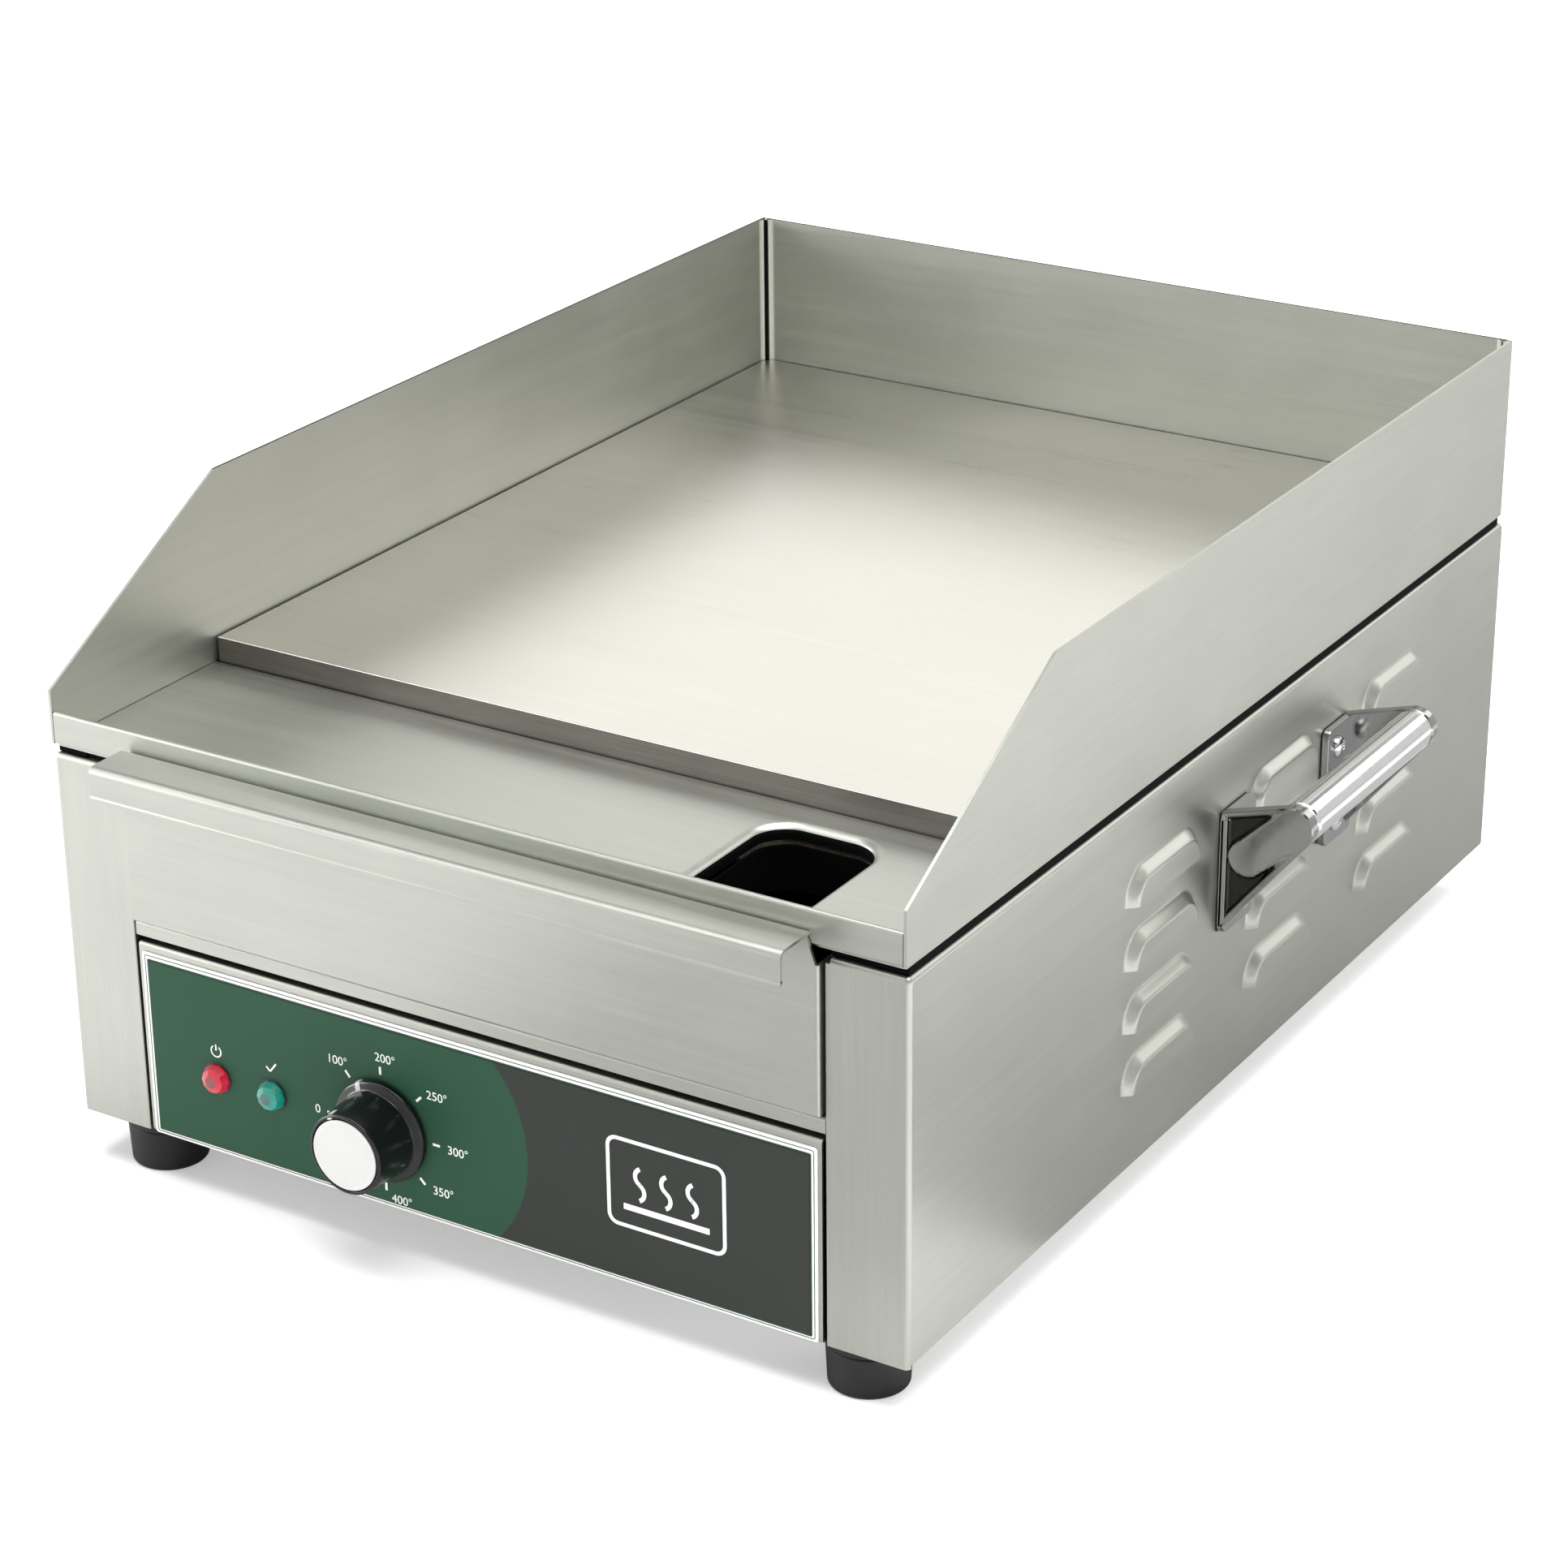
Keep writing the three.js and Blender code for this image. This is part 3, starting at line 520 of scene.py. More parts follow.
# Near-black for the rubber seals and for strips set in gaps and seams: the seals' own colour, and painted
# shade in the gaps.
SEAL_AND_GAP_SHADE = speckled("seal_and_gap_painted_shade", (0.002, 0.002, 0.002), 0.8, scale=900, Specular_IOR_Level=0.06)
WHITE_PLASTIC = speckled("white_plastic", (0.66, 0.66, 0.645), 0.38, scale=1500, contrast=0.05, relief=0.003)
PRINT_WHITE = speckled("white_print", (0.90, 0.92, 0.89), 0.5, scale=3000, contrast=0.06, relief=0.002)
FILM_GREEN = speckled("film_green", (0.027, 0.083, 0.049), 0.42, scale=2500, contrast=0.04, relief=0.003,
                      Specular_IOR_Level=0.12)
FILM_GREY = speckled("film_grey", (0.038, 0.042, 0.038), 0.42, scale=2500, contrast=0.04, relief=0.003,
                     Specular_IOR_Level=0.12)
FILM_EDGE = speckled("film_edge", (0.90, 0.90, 0.88), 0.40, metallic=0.1, scale=2500, contrast=0.03)
FILM_LINE = speckled("film_line", (0.010, 0.045, 0.022), 0.45, scale=2500, contrast=0.05)
RED_LENS = speckled("red_lens", (0.50, 0.006, 0.028), 0.10, scale=800, contrast=0.12, relief=0.002,
                    Coat_Weight=1.0, Emission_Color=(1.0, 0.02, 0.08, 1), Emission_Strength=0.12)
# A darker copy of the red lens for its middle facets: painted shade in the lens centre.
RED_LENS_SHADE = speckled("red_lens_painted_shade", (0.20, 0.002, 0.010), 0.10, scale=800, relief=0.002, Coat_Weight=1.0)
GREEN_LENS = speckled("green_lens", (0.001, 0.24, 0.19), 0.10, scale=800, contrast=0.12, relief=0.002,
                      Coat_Weight=1.0, Emission_Color=(0.0, 1.0, 0.6, 1), Emission_Strength=0.04)
# A darker copy of the green lens for its middle facets: painted shade in the lens centre.
GREEN_LENS_SHADE = speckled("green_lens_painted_shade", (0.001, 0.09, 0.08), 0.10, scale=800, relief=0.002, Coat_Weight=1.0)
FIBRE = speckled("mineral_fibre", (0.62, 0.56, 0.43), 0.95, scale=700, contrast=0.2, relief=0.2)
COPPER = speckled("copper", (0.55, 0.24, 0.12), 0.35, metallic=1.0, scale=300)
CERAMIC = speckled("ceramic", (0.74, 0.70, 0.62), 0.4, scale=500, contrast=0.05)
SLEEVE = brushed("wire_sleeve", (0.50, 0.46, 0.38), "x", roughness=0.8, contrast=0.15)
shader_of(SLEEVE).inputs["Metallic"].default_value = 0.0


# ---- Body ------------------------------------------------------------------------------------------------
def spaced(start, stop, step):
    """Values from start up to, but not including, stop."""
    count = max(1, round((stop - start) / step))
    return [start + (stop - start) * index / count for index in range(count)]


def within(index, count):
    return min(max(index, 0), count - 1)


def louvre_depth(y, z):
    """How far inside a louvre's outline a point of the side panel is, for the louvre nearest to it."""
    along = (y - LOUVRE_FIRST[0] - LOUVRE["width"] / 2) / LOUVRE_PITCH[0]
    column = within(round(along), LOUVRE["columns"])
    row = within(math.floor((z - LOUVRE_FIRST[1]) / LOUVRE_PITCH[1] + 1e-6), LOUVRE["rows"])
    low_y = LOUVRE_FIRST[0] + column * LOUVRE_PITCH[0]
    low_z = LOUVRE_FIRST[1] + row * LOUVRE_PITCH[1]
    if z < low_z - 1e-6:
        return 0.0
    reach_y = LOUVRE["width"] / 2 - LOUVRE["corner"]
    reach_z = 2 * LOUVRE["height"] - LOUVRE["corner"]
    away_y = abs(y - low_y - LOUVRE["width"] / 2) - reach_y
    away_z = abs(z - low_z + LOUVRE["height"]) - reach_z
    outside = math.hypot(max(away_y, 0), max(away_z, 0)) + min(max(away_y, away_z), 0)
    return LOUVRE["corner"] - outside


def louvre_rise(y, z):
    return LOUVRE["proud"] * ease(louvre_depth(y, z) / LOUVRE["slope"])


def side_shell():
    """The right side: one sheet with folded top and bottom, and twelve louvres pressed out and slit below."""
    fine, coarse = 0.7, 20  # spacing of the mesh on a louvre's slopes and on the plain sheet
    edge = LOUVRE["corner"] + 1
    stations = [LIP_FACE + 1 + BEND]
    for column in range(LOUVRE["columns"]):
        low = LOUVRE_FIRST[0] + column * LOUVRE_PITCH[0]
        high = low + LOUVRE["width"]
        stations += spaced(stations[-1], low - 0.5, coarse)[1:]
        stations += spaced(low - 0.5, low + edge, fine)
        stations += spaced(low + edge, high - edge, 6)
        stations += spaced(high - edge, high + 0.5, fine) + [high + 0.5]
    stations += spaced(stations[-1], SIDE_HIGH.y, coarse)[1:] + [SIDE_HIGH.y]

    flange = SIDE_HIGH.x - LOUVRE["proud"] - SIDE_LOW.x
    levels = [(flange, SIDE_LOW.z, False)]
    folds = [(BEND * (1 - math.sin(a)), BEND * (1 - math.cos(a))) for a in QUARTER_TURN]
    levels += [(inset, SIDE_LOW.z + rise, False) for inset, rise in folds]
    for row in range(LOUVRE["rows"]):
        slit = LOUVRE_FIRST[1] + row * LOUVRE_PITCH[1]
        levels += [(0, z, False) for z in spaced(levels[-1][1], slit, 6)[1:]]
        levels += [(0, slit, False), (0, slit, True)]
        top = slit + LOUVRE["height"]
        levels += [(0, z, True) for z in spaced(slit, top - edge, 1.5)[1:]]
        levels += [(0, z, True) for z in spaced(max(slit + 1, top - edge), top + 0.5, fine)]
        levels += [(0, top + 0.5, True)]
    levels += [(0, z, False) for z in spaced(levels[-1][1], SIDE_HIGH.z - BEND, 6)[1:]]
    levels += [(inset, SIDE_HIGH.z - rise, False) for inset, rise in reversed(folds)]
    levels += [(flange, SIDE_HIGH.z, False)]

    vertices = []
    for inset, z, pressed in levels:
        for y in stations:
            rise = louvre_rise(y, z) if pressed else 0.0
            vertices.append((BODY_HALF - inset + rise, y, z))
    width = len(stations)
    faces = []
    for level in range(len(levels) - 1):
        if levels[level][1] == levels[level + 1][1] and levels[level][2] != levels[level + 1][2]:
            continue
        for station in range(width - 1):
            first = level * width + station
            faces.append((first, first + 1, first + width + 1, first + width))
    shell = make_piece("right_side_shell", vertices, faces)
    shell.modifiers.clear()
    bulk = shell.modifiers.new("sheet", "SOLIDIFY")
    bulk.thickness = SHEET * MM
    bulk.offset = -1.0
    apply_modifiers(shell)
    shade(shell, 50)
    return shell


def post_shell():
    """The right front post: a front face with a folded top, wrapped round the corner and back inside."""
    front = LIP_FACE + 1
    inner = POST_LOW.x
    corners = [(inner, POST_HIGH.y), (inner, front, 0.5), (BODY_HALF, front), (BODY_HALF, front + BEND)]
    wall = rounded_path(corners, BEND * 0.97)
    fold = POST_HIGH.z - BEND
    upright = folded_sheet("post_wall", wall, SHEET, "z", POST_LOW.z, fold)
    cap_path = rounded_path([(front, fold), (front, POST_HIGH.z), (front + 14, POST_HIGH.z)], BEND)
    cap = folded_sheet("post_cap", cap_path, -SHEET, "x", inner + BEND, BODY_HALF - BEND)
    corner_loops = []
    for lift in QUARTER_TURN:
        reach = BEND * math.cos(lift)
        loop = []
        for spin in QUARTER_TURN:
            loop.append((BODY_HALF - BEND + reach * math.sin(spin), front + BEND - reach * math.cos(spin),
                         fold + BEND * math.sin(lift)))
        loop.append((BODY_HALF - BEND, front + BEND, fold + BEND * math.sin(lift)))
        corner_loops.append(loop)
    corner = stacked_loops("post_corner", corner_loops, cap_first=True)
    return joined("right_post_shell", upright, cap, corner)


def add_body():
    fit_pair(side_shell(), "left_side_shell", "brushed_steel", STEEL_Y, "side_panel")
    fit_pair(post_shell(), "left_post_shell", "brushed_steel", STEEL_Z, "front_post")

    front = RAIL_LOW.y
    rail_path = rounded_path([(front, RAIL_LOW.z), (front, RAIL_HIGH.z), (RAIL_HIGH.y, RAIL_HIGH.z)], 1.6)
    rail = folded_sheet("cross_rail_shell", rail_path, -SHEET, "x", RAIL_LOW.x, RAIL_HIGH.x, bevel=0.2)
    fit(rail, "griddle", "brushed_steel", STEEL_X, "front_cross_rail")
    add_rear()


def add_rear():
    """The rear panel has a round hole for the gland and two rows of screws."""
    centre = Vector((middle(GLAND_LOW.x, GLAND_HIGH.x), middle(GLAND_LOW.z, GLAND_HIGH.z)))
    hole = []
    hole_radius = 8.0
    sides = 48
    for side in range(sides):
        angle = 2 * math.pi * side / sides
        hole.append(centre + Vector((math.cos(angle), math.sin(angle))) * hole_radius)
    low, high = (REAR_LOW.x, REAR_LOW.z), (REAR_HIGH.x, REAR_HIGH.z)
    outline = rounded_rectangle(low, high, 2.0)
    panel = holed_sheet("rear_panel_sheet", outline, hole, "y", REAR_HIGH.y, SHEET)
    fit(panel, "griddle", "brushed_steel", STEEL_X, "rear_panel")
    screw_columns, margin_x, margin_z = 4, 14, 9
    for row, z in enumerate((REAR_LOW.z + margin_z, REAR_HIGH.z - margin_z)):
        for column in range(screw_columns):
            share = column / (screw_columns - 1)
            x = (REAR_LOW.x + margin_x) * (1 - share) + (REAR_HIGH.x - margin_x) * share
            pan_screw(f"rear_panel_screw_{row}_{column}", (x, REAR_HIGH.y, z), "back", 3.6)

    depth = GLAND_HIGH.y - REAR_HIGH.y
    profile = [(4.6, -6), (7.2, -6), (7.4, 0.1), (11, 0.1), (11, 3.4), (10.4, 4.2), (8.8, 4.4)]
    ribs = 4
    for rib in range(ribs):
        level = 5.2 + rib * 2.2
        radius = 8.6 - rib * 0.45
        profile += [(radius - 0.8, level), (radius, level + 0.3), (radius, level + 1.2),
                    (radius - 0.8, level + 1.5)]
    profile += [(6.2, depth - 0.6), (5.6, depth), (4.9, depth), (4.6, depth - 0.4)]
    gland = turned("cable_gland_body", profile, (centre.x, REAR_HIGH.y, centre.y), "back", sides=48)
    fit(gland, "griddle", "black_plastic", BLACK_PLASTIC, "cable_gland")


def holed_sheet(name, outline, hole, axis, level, thickness, direction=-1):
    """A flat sheet with one hole, whose visible face lies at a level on the axis."""
    place = PLACE[axis]
    work = bmesh.new()
    loops = []
    for loop in (outline, hole):
        verts = [work.verts.new(Vector(place(u, v, level)) * MM) for u, v in loop]
        loops.append([work.edges.new((verts[i], verts[(i + 1) % len(verts)])) for i in range(len(verts))])
    bmesh.ops.triangle_fill(work, use_beauty=True, edges=loops[0] + loops[1])
    extruded = bmesh.ops.extrude_face_region(work, geom=list(work.faces))
    shift = Vector(place(0, 0, direction * thickness)) * MM
    for item in extruded["geom"]:
        if isinstance(item, bmesh.types.BMVert):
            item.co += shift
    bmesh.ops.recalc_face_normals(work, faces=work.faces)
    mesh = bpy.data.meshes.new(name)
    work.to_mesh(mesh)
    work.free()
    piece = bpy.data.objects.new(name, mesh)
    bpy.context.scene.collection.objects.link(piece)
    shade(piece)
    return piece


def pan_screw(name, centre, aim, radius, material=None, slot="galvanised_steel"):
    """A domed screw head with a round driver recess."""
    height = radius * 0.6
    profile = [(radius, 0.02), (radius, height * 0.25)]
    for step in range(1, 6):
        angle = math.pi / 2 * step / 6
        profile.append((radius * math.cos(angle), height * (0.25 + 0.75 * math.sin(angle))))
    profile += [(radius * 0.30, height * 0.97), (radius * 0.22, height * 0.45), (0, height * 0.45)]
    screw = turned(name, [(0, 0.02)] + profile, centre, aim, sides=32)
    return fit(screw, "griddle", slot, material or ZINC)


# ---- Feet ------------------------------------------------------------------------------------------------
def add_feet():
    """Moulded rubber feet: a rounded tread, a shallow groove under the head, and a recess for the screw."""
    for row in ("front", "rear"):
        for side in ("left", "right"):
            node = f"{row}_{side}_foot"
            low, high = limits(node)
            radius = (high.x - low.x) / 2
            height = high.z
            outline = rounded_path([
                (7.4, 0), (radius - 1.6, 0, 1.6), (radius - 0.9, height - 4.4, 0.4),
                (radius - 1.5, height - 3.9, 0.3), (radius - 1.5, height - 3.2, 0.3),
                (radius, height - 2.8, 0.4), (radius, height, 0.8), (3.0, height, 0),
                (3.0, 12, 0), (7.0, 12, 0), (7.0, 0.4, 0), (7.4, 0),
            ], 0, steps=4)
            centre = (middle(low.x, high.x), middle(low.y, high.y), 0)
            profile = [(point.x, point.y) for point in outline]
            foot = turned(node + "_rubber", profile, centre, "up", sides=72)
            fit(foot, "griddle", "rubber", RUBBER, node)


# ---- Cooking top -----------------------------------------------------------------------------------------
# The rear corners: where a guard's end starts to turn in, the radius it turns on, and where its tip lies.
CORNER = {"start": 5.6, "radius": 3.6, "tip": 1.30, "tip_back": 2.85}


def third_finish(piece, material, chosen):
    """A third finish for the faces whose normal is chosen."""
    piece.data.materials.append(material)
    for face in piece.data.polygons:
        if chosen(face.normal):
            face.material_index = 2
    return piece


def corner_curve():
    """How a guard's end turns in at the corner: (rise from its own face, distance from the other face)."""
    points = []
    radius = CORNER["radius"]
    for step in range(ARC_STEPS + 1):
        angle = math.pi / 4 * step / ARC_STEPS
        points.append((radius * (1 - math.cos(angle)), CORNER["start"] - radius * math.sin(angle)))
    return points + [(CORNER["tip"], CORNER["tip_back"])]


def side_guard():
    """The right splash guard: its nose slopes down in front, and its rear end turns in at the corner."""
    low_y, high_y = GUARD_LOW.y, GUARD_HIGH.y
    outer_x, inner_x = GUARD_HIGH.x, GUARD_LOW.x
    base = GUARD_LOW.z
    nose, slope, full = base + GUARD_NOSE, low_y + GUARD_SLOPE, GUARD_HIGH.z
    outer = [Vector((outer_x, low_y)), Vector((outer_x, slope))]
    inner = [Vector((inner_x, low_y)), Vector((inner_x, slope))]
    tops = [nose, full]
    for rise, back in corner_curve():
        outer.append(Vector((outer_x, min(high_y, REAR_GUARD_LOW.y - back + CORNER["start"] - 1))))
        inner.append(Vector((inner_x - rise, REAR_GUARD_LOW.y - back)))
        tops.append(full)
    outer[-1] = Vector((inner_x - 0.1, high_y))
    outer[-2] = Vector((outer_x, high_y))
    sheet = folded_sheet("right_guard_sheet", outer, 0, "z", base, tops, inner=inner, bevel=0.2,
                         smooth_angle=30)
    turned_in = REAR_GUARD_LOW.y - CORNER["start"]
    # The turned-in end's bend takes the paler steel: a painted highlight.
    return accent(sheet, GUARD_Y, GUARD_BEND_HIGHLIGHT,
                  lambda centre, normal: centre.y > turned_in and normal.x < -0.5 and normal.y < -0.25)


def rear_guard():
    """The rear splash guard, with both ends turned in at the corners."""
    inner, outer = [], []
    half = GUARD_LOW.x
    curve = corner_curve()
    for side in (-1, 1):
        run = curve if side > 0 else curve[::-1]
        for rise, back in run:
            inner.append(Vector((side * (half - back), REAR_GUARD_LOW.y - rise)))
            reach = min(REAR_GUARD_HIGH.x, half - back + CORNER["start"] - 1.7)
            outer.append(Vector((side * reach, REAR_GUARD_HIGH.y)))
    sheet = folded_sheet("rear_guard_sheet", inner, 0, "z", REAR_GUARD_LOW.z, REAR_GUARD_HIGH.z, inner=outer,
                         bevel=0.2, smooth_angle=30)
    turned_in = half - CORNER["start"]
    # Both turned-in ends' bends take the paler steel: a painted highlight.
    accent(sheet, GUARD_X, GUARD_BEND_HIGHLIGHT,
           lambda centre, normal: abs(centre.x) > turned_in and normal.y < -0.5 and abs(normal.x) > 0.25)
    # The rear guard's upward faces are near-black: painted shade along its top edge.
    return third_finish(sheet, TOP_EDGE_SHADE, lambda normal: normal.z > 0.3)


def corner_seam_shade():
    """A near-black strip in the seam of the rear right corner, a little behind the two turned-in ends:
    painted shade in the seam.
    """
    outline = []
    for inward, forward in ((1.15, 2.25), (2.25, 1.15), (1.0, 0.05), (0.5, 0.2)):
        outline.append(Vector((GUARD_LOW.x - inward, REAR_GUARD_LOW.y - forward)))
    return prism("right_corner_bead", outline, "z", GUARD_LOW.z, GUARD_HIGH.z - 0.6)


def trough_lip():
    """The lip's top edge is hemmed back on itself."""
    low, high = LIP_LOW, LIP_HIGH
    outline = rounded_path([
        (low.y, low.z, 1.0), (low.y, high.z, 1.15), (high.y, high.z, 1.15), (high.y, high.z - 3.0, 0.3),
        (low.y + SHEET, high.z - 3.0, 0.2), (low.y + SHEET, low.z, 0.15),
    ], 0, closed=True)
    return prism("trough_lip_hem", outline, "x", low.x, high.x, bevel=0)


def drain_loop(spread, z):
    low = (DRAIN["left"] - spread, DRAIN["front"] - spread)
    high = (DRAIN["right"] + spread, DRAIN["rear"] + spread)
    return [(x, y, z) for x, y in rounded_rectangle(low, high, DRAIN["corner"] + spread, steps=10)]


def trough_floor():
    """The floor turns down into the drain on a round bend, whose lower part is near-black: painted shade
    going down into the hole.
    """
    low, high = FLOOR_LOW, FLOOR_HIGH
    top = high.z
    outline = rounded_rectangle((low.x, low.y), (high.x, high.y - 0.5), 0.5)
    first = drain_loop(DRAIN_BEND, top)
    flat = holed_sheet("floor_flat", outline, [point[:2] for point in first], "z", top, 1.0)
    loops = []
    steps = 8
    turns = [math.pi / 2 * step / steps for step in range(steps + 1)]
    for turn in turns:
        loops.append(drain_loop(DRAIN_BEND * (1 - math.sin(turn)), top - DRAIN_BEND * (1 - math.cos(turn))))
    loops.append(drain_loop(0, top - DRAIN_BEND - 1.5))
    thick = 0.9
    loops.append(drain_loop(thick, top - DRAIN_BEND - 1.5))
    inner = DRAIN_BEND - thick
    below = top - DRAIN_BEND
    for turn in reversed(turns):
        loops.append(drain_loop(DRAIN_BEND - inner * math.sin(turn), below + inner * math.cos(turn)))
    rim = stacked_loops("floor_rim", loops, closed_loop=True, merge=0.0001)
    sheet = joined("trough_floor_sheet", flat, rim)
    # Faces below that depth take the near-black: painted shade going down into the drain.
    return accent(sheet, STEEL_X, DRAIN_SHADE_BLACK, lambda centre, normal: centre.z < top - SHADE_BELOW)


def drain_duct():
    """The chute below the floor's bend, open at both ends."""
    sheet = 0.95
    top, bottom = CHUTE_HIGH.z - 6.2, CHUTE_LOW.z
    loops = [drain_loop(spread, z) for spread, z in ((sheet, top), (0, top), (0, bottom), (sheet, bottom))]
    return stacked_loops("drain_duct", loops, closed_loop=True)


def cooking_plate():
    """The plate is ground on top and dark on its sawn edges; the eased edge between them is near-white, a
    painted highlight.
    """
    seam, corner = 0.7, 3.4
    low, high = PLATE_LOW, PLATE_HIGH
    side, back = high.x - seam, high.y - seam
    outline = [(-side, low.y), (side, low.y), (side, back - corner), (side - corner, back),
               (corner - side, back), (-side, back - corner)]
    plate = prism("cooking_plate", outline, "z", low.z, high.z, bevel=0.5, bevel_segments=3)
    accent(plate, GROUND_PLATE, PLATE_EDGE, lambda centre, normal: normal.z < 0.5)
    # The eased top edge takes the near-white steel: a painted highlight.
    return third_finish(plate, GROUND_EDGE_HIGHLIGHT, lambda normal: 0.5 <= normal.z < 0.98)


def tray_seal():
    """A near-black rubber strip between the body and the top, with a lip that closes the joint under the
    guard; its near-black is partly the rubber's own and partly painted shade in the gap.
    """
    low, high = limits("right_tray_seal")
    lip_in, lip_out, lip_top = FLOOR_HIGH.x + 0.08, high.x + 0.6, GUARD_LOW.z - 0.05
    outline = [(low.x, low.z), (lip_out, low.z), (lip_out, lip_top), (lip_in, lip_top), (lip_in, high.z),
               (low.x, high.z)]
    return prism("right_seal_strip", outline, "y", low.y, high.y + 1.5, bevel=0.1)


def post_gap_shade():
    """A block of the same near-black finish on top of the right post, behind the lip: painted shade in the
    gap under the lip.
    """
    low, _ = limits("right_tray_seal")
    start = (POST_LOW.x + 1, LIP_HIGH.y + 1.2, low.z)
    stop = (low.x - 0.2, LIP_HIGH.y + 6, FLOOR_LOW.z - 0.2)
    return block("right_post_seal", start, stop, bevel=0.2)


def add_top():
    guard = side_guard()
    # The left guard's top edge is near-black: painted shade along it.
    left_guard = third_finish(mirrored(guard, "left_guard_sheet"), TOP_EDGE_SHADE, lambda normal: normal.z > 0.95)
    fit(left_guard, "griddle", "brushed_steel", GUARD_Y, "left_splash_guard")
    fit(guard, "griddle", "brushed_steel", GUARD_Y, "right_splash_guard")
    fit(rear_guard(), "griddle", "brushed_steel", GUARD_X, "rear_splash_guard")
    # The corner strips are painted shade in the corner seams.
    fit_pair(corner_seam_shade(), "left_corner_bead", "rubber", SEAL_AND_GAP_SHADE)
    # The seal strips are rubber whose near-black also stands for the shade in the gap above the side panels.
    fit_pair(tray_seal(), "left_seal_strip", "rubber", SEAL_AND_GAP_SHADE, "tray_seal")
    # The post blocks are painted shade in the gap under the lip.
    fit_pair(post_gap_shade(), "left_post_seal", "rubber", SEAL_AND_GAP_SHADE)
    fit(trough_lip(), "griddle", "brushed_steel", STEEL_X, "trough_lip")
    fit(trough_floor(), "griddle", "brushed_steel", STEEL_X, "trough_floor")
    # The chute is near-black all over: painted shade in the drain.
    fit(drain_duct(), "griddle", "brushed_steel", DRAIN_SHADE_BLACK, "drain_chute")
    fit(cooking_plate(), "griddle", "plate_steel", GROUND_PLATE, "griddle_plate")


# ---- Grease drawer ---------------------------------------------------------------------------------------
def add_drawer():
    """The front is one sheet from its bottom return up to the hooked pull, with its top corners cut back."""
    face = LIP_FACE - 1.5
    half = DRAWER_HIGH.x
    bottom, top = DRAWER_LOW.z, DRAWER_HIGH.z
    reach = DRAWER_LOW.y
    hook = top - 11.7
    bead = 0.4  # how far the pull's lower edge flares out
    path = rounded_path([
        (face + 12, bottom), (face, bottom), (face, top), (reach + bead, top, 1.8),
        (reach + bead, hook + 1.5, 0.4), (reach, hook + 0.8, 0.3), (reach, hook),
    ], 1.6)
    pull_half = 147.2
    cut_in, cut_down = 4.6, 9.7  # the cut-back top corners
    shoulder = top - 1.7 - cut_down
    widths = []
    for point in path:
        on_face = point.x > face - 0.5
        if not on_face:
            widths.append(pull_half)
            continue
        drop = max(0.0, point.y - shoulder) / cut_down
        widths.append(min(half - SHEET, half - cut_in * min(drop, 1.0)))
    corner = Vector((face, shoulder))
    for index, point in enumerate(path):
        if abs(point.x - face) < 1e-3 and point.y > corner.y:
            path.insert(index, corner)
            widths.insert(index, half - SHEET)
            break
    sheet = folded_sheet("front_sheet", path, -SHEET, "x", [-w for w in widths], widths, bevel=0.25)
    parts = [sheet]
    for side in (-1, 1):
        wall = rounded_path([(side * (half - SHEET), face), (side * half, face),
                             (side * half, LIP_FACE + 14)], 1.15)
        parts.append(folded_sheet("return", wall, side * SHEET, "z", bottom + 1, corner.y))
    whole = joined("drawer_front_sheet", *parts)
    fit(whole, "drawer", "brushed_steel", STEEL_X, "drawer_front")
    fit(drawer_tray(), "drawer", "galvanised_steel", ZINC, "drawer_tray")


TRAY_FLANGE = 9  # width of the tray's side flanges


def tray_loop(inset, z, flange=0.0):
    half = (TRAY_HIGH.x - TRAY_FLANGE) - inset + flange
    low_y, high_y = TRAY_LOW.y + inset, TRAY_HIGH.y - inset
    radius = max(0.6, 6 - inset)
    return [(x, y, z) for x, y in rounded_rectangle((-half, low_y), (half, high_y), radius)]


def drawer_tray():
    """A pressed tray with rounded corners, a rounded bottom edge and side flanges that run on the runners."""
    sheet = 1.0
    bottom, top = TRAY_LOW.z, TRAY_HIGH.z
    radius = 4.0
    inner = radius - sheet
    curve = [(math.sin(a), math.cos(a)) for a in QUARTER_TURN]
    loops = [tray_loop(radius - radius * out, bottom + radius - radius * down) for out, down in curve]
    loops += [tray_loop(0, top - sheet), tray_loop(0, top - sheet, TRAY_FLANGE)]
    loops += [tray_loop(0, top, TRAY_FLANGE), tray_loop(sheet, top)]
    centre = bottom + radius
    loops += [tray_loop(radius - inner * out, centre - inner * down) for out, down in reversed(curve)]
    return stacked_loops("drawer_tray_pressing", loops, cap_first=True, cap_last=True)


# ---- Control panel ---------------------------------------------------------------------------------------
def label_arc(z):
    """Where the green field's round edge lies at a height."""
    circle = GREEN_CIRCLE
    return circle["x"] + math.sqrt(circle["radius"] ** 2 - (z - circle["z"]) ** 2)


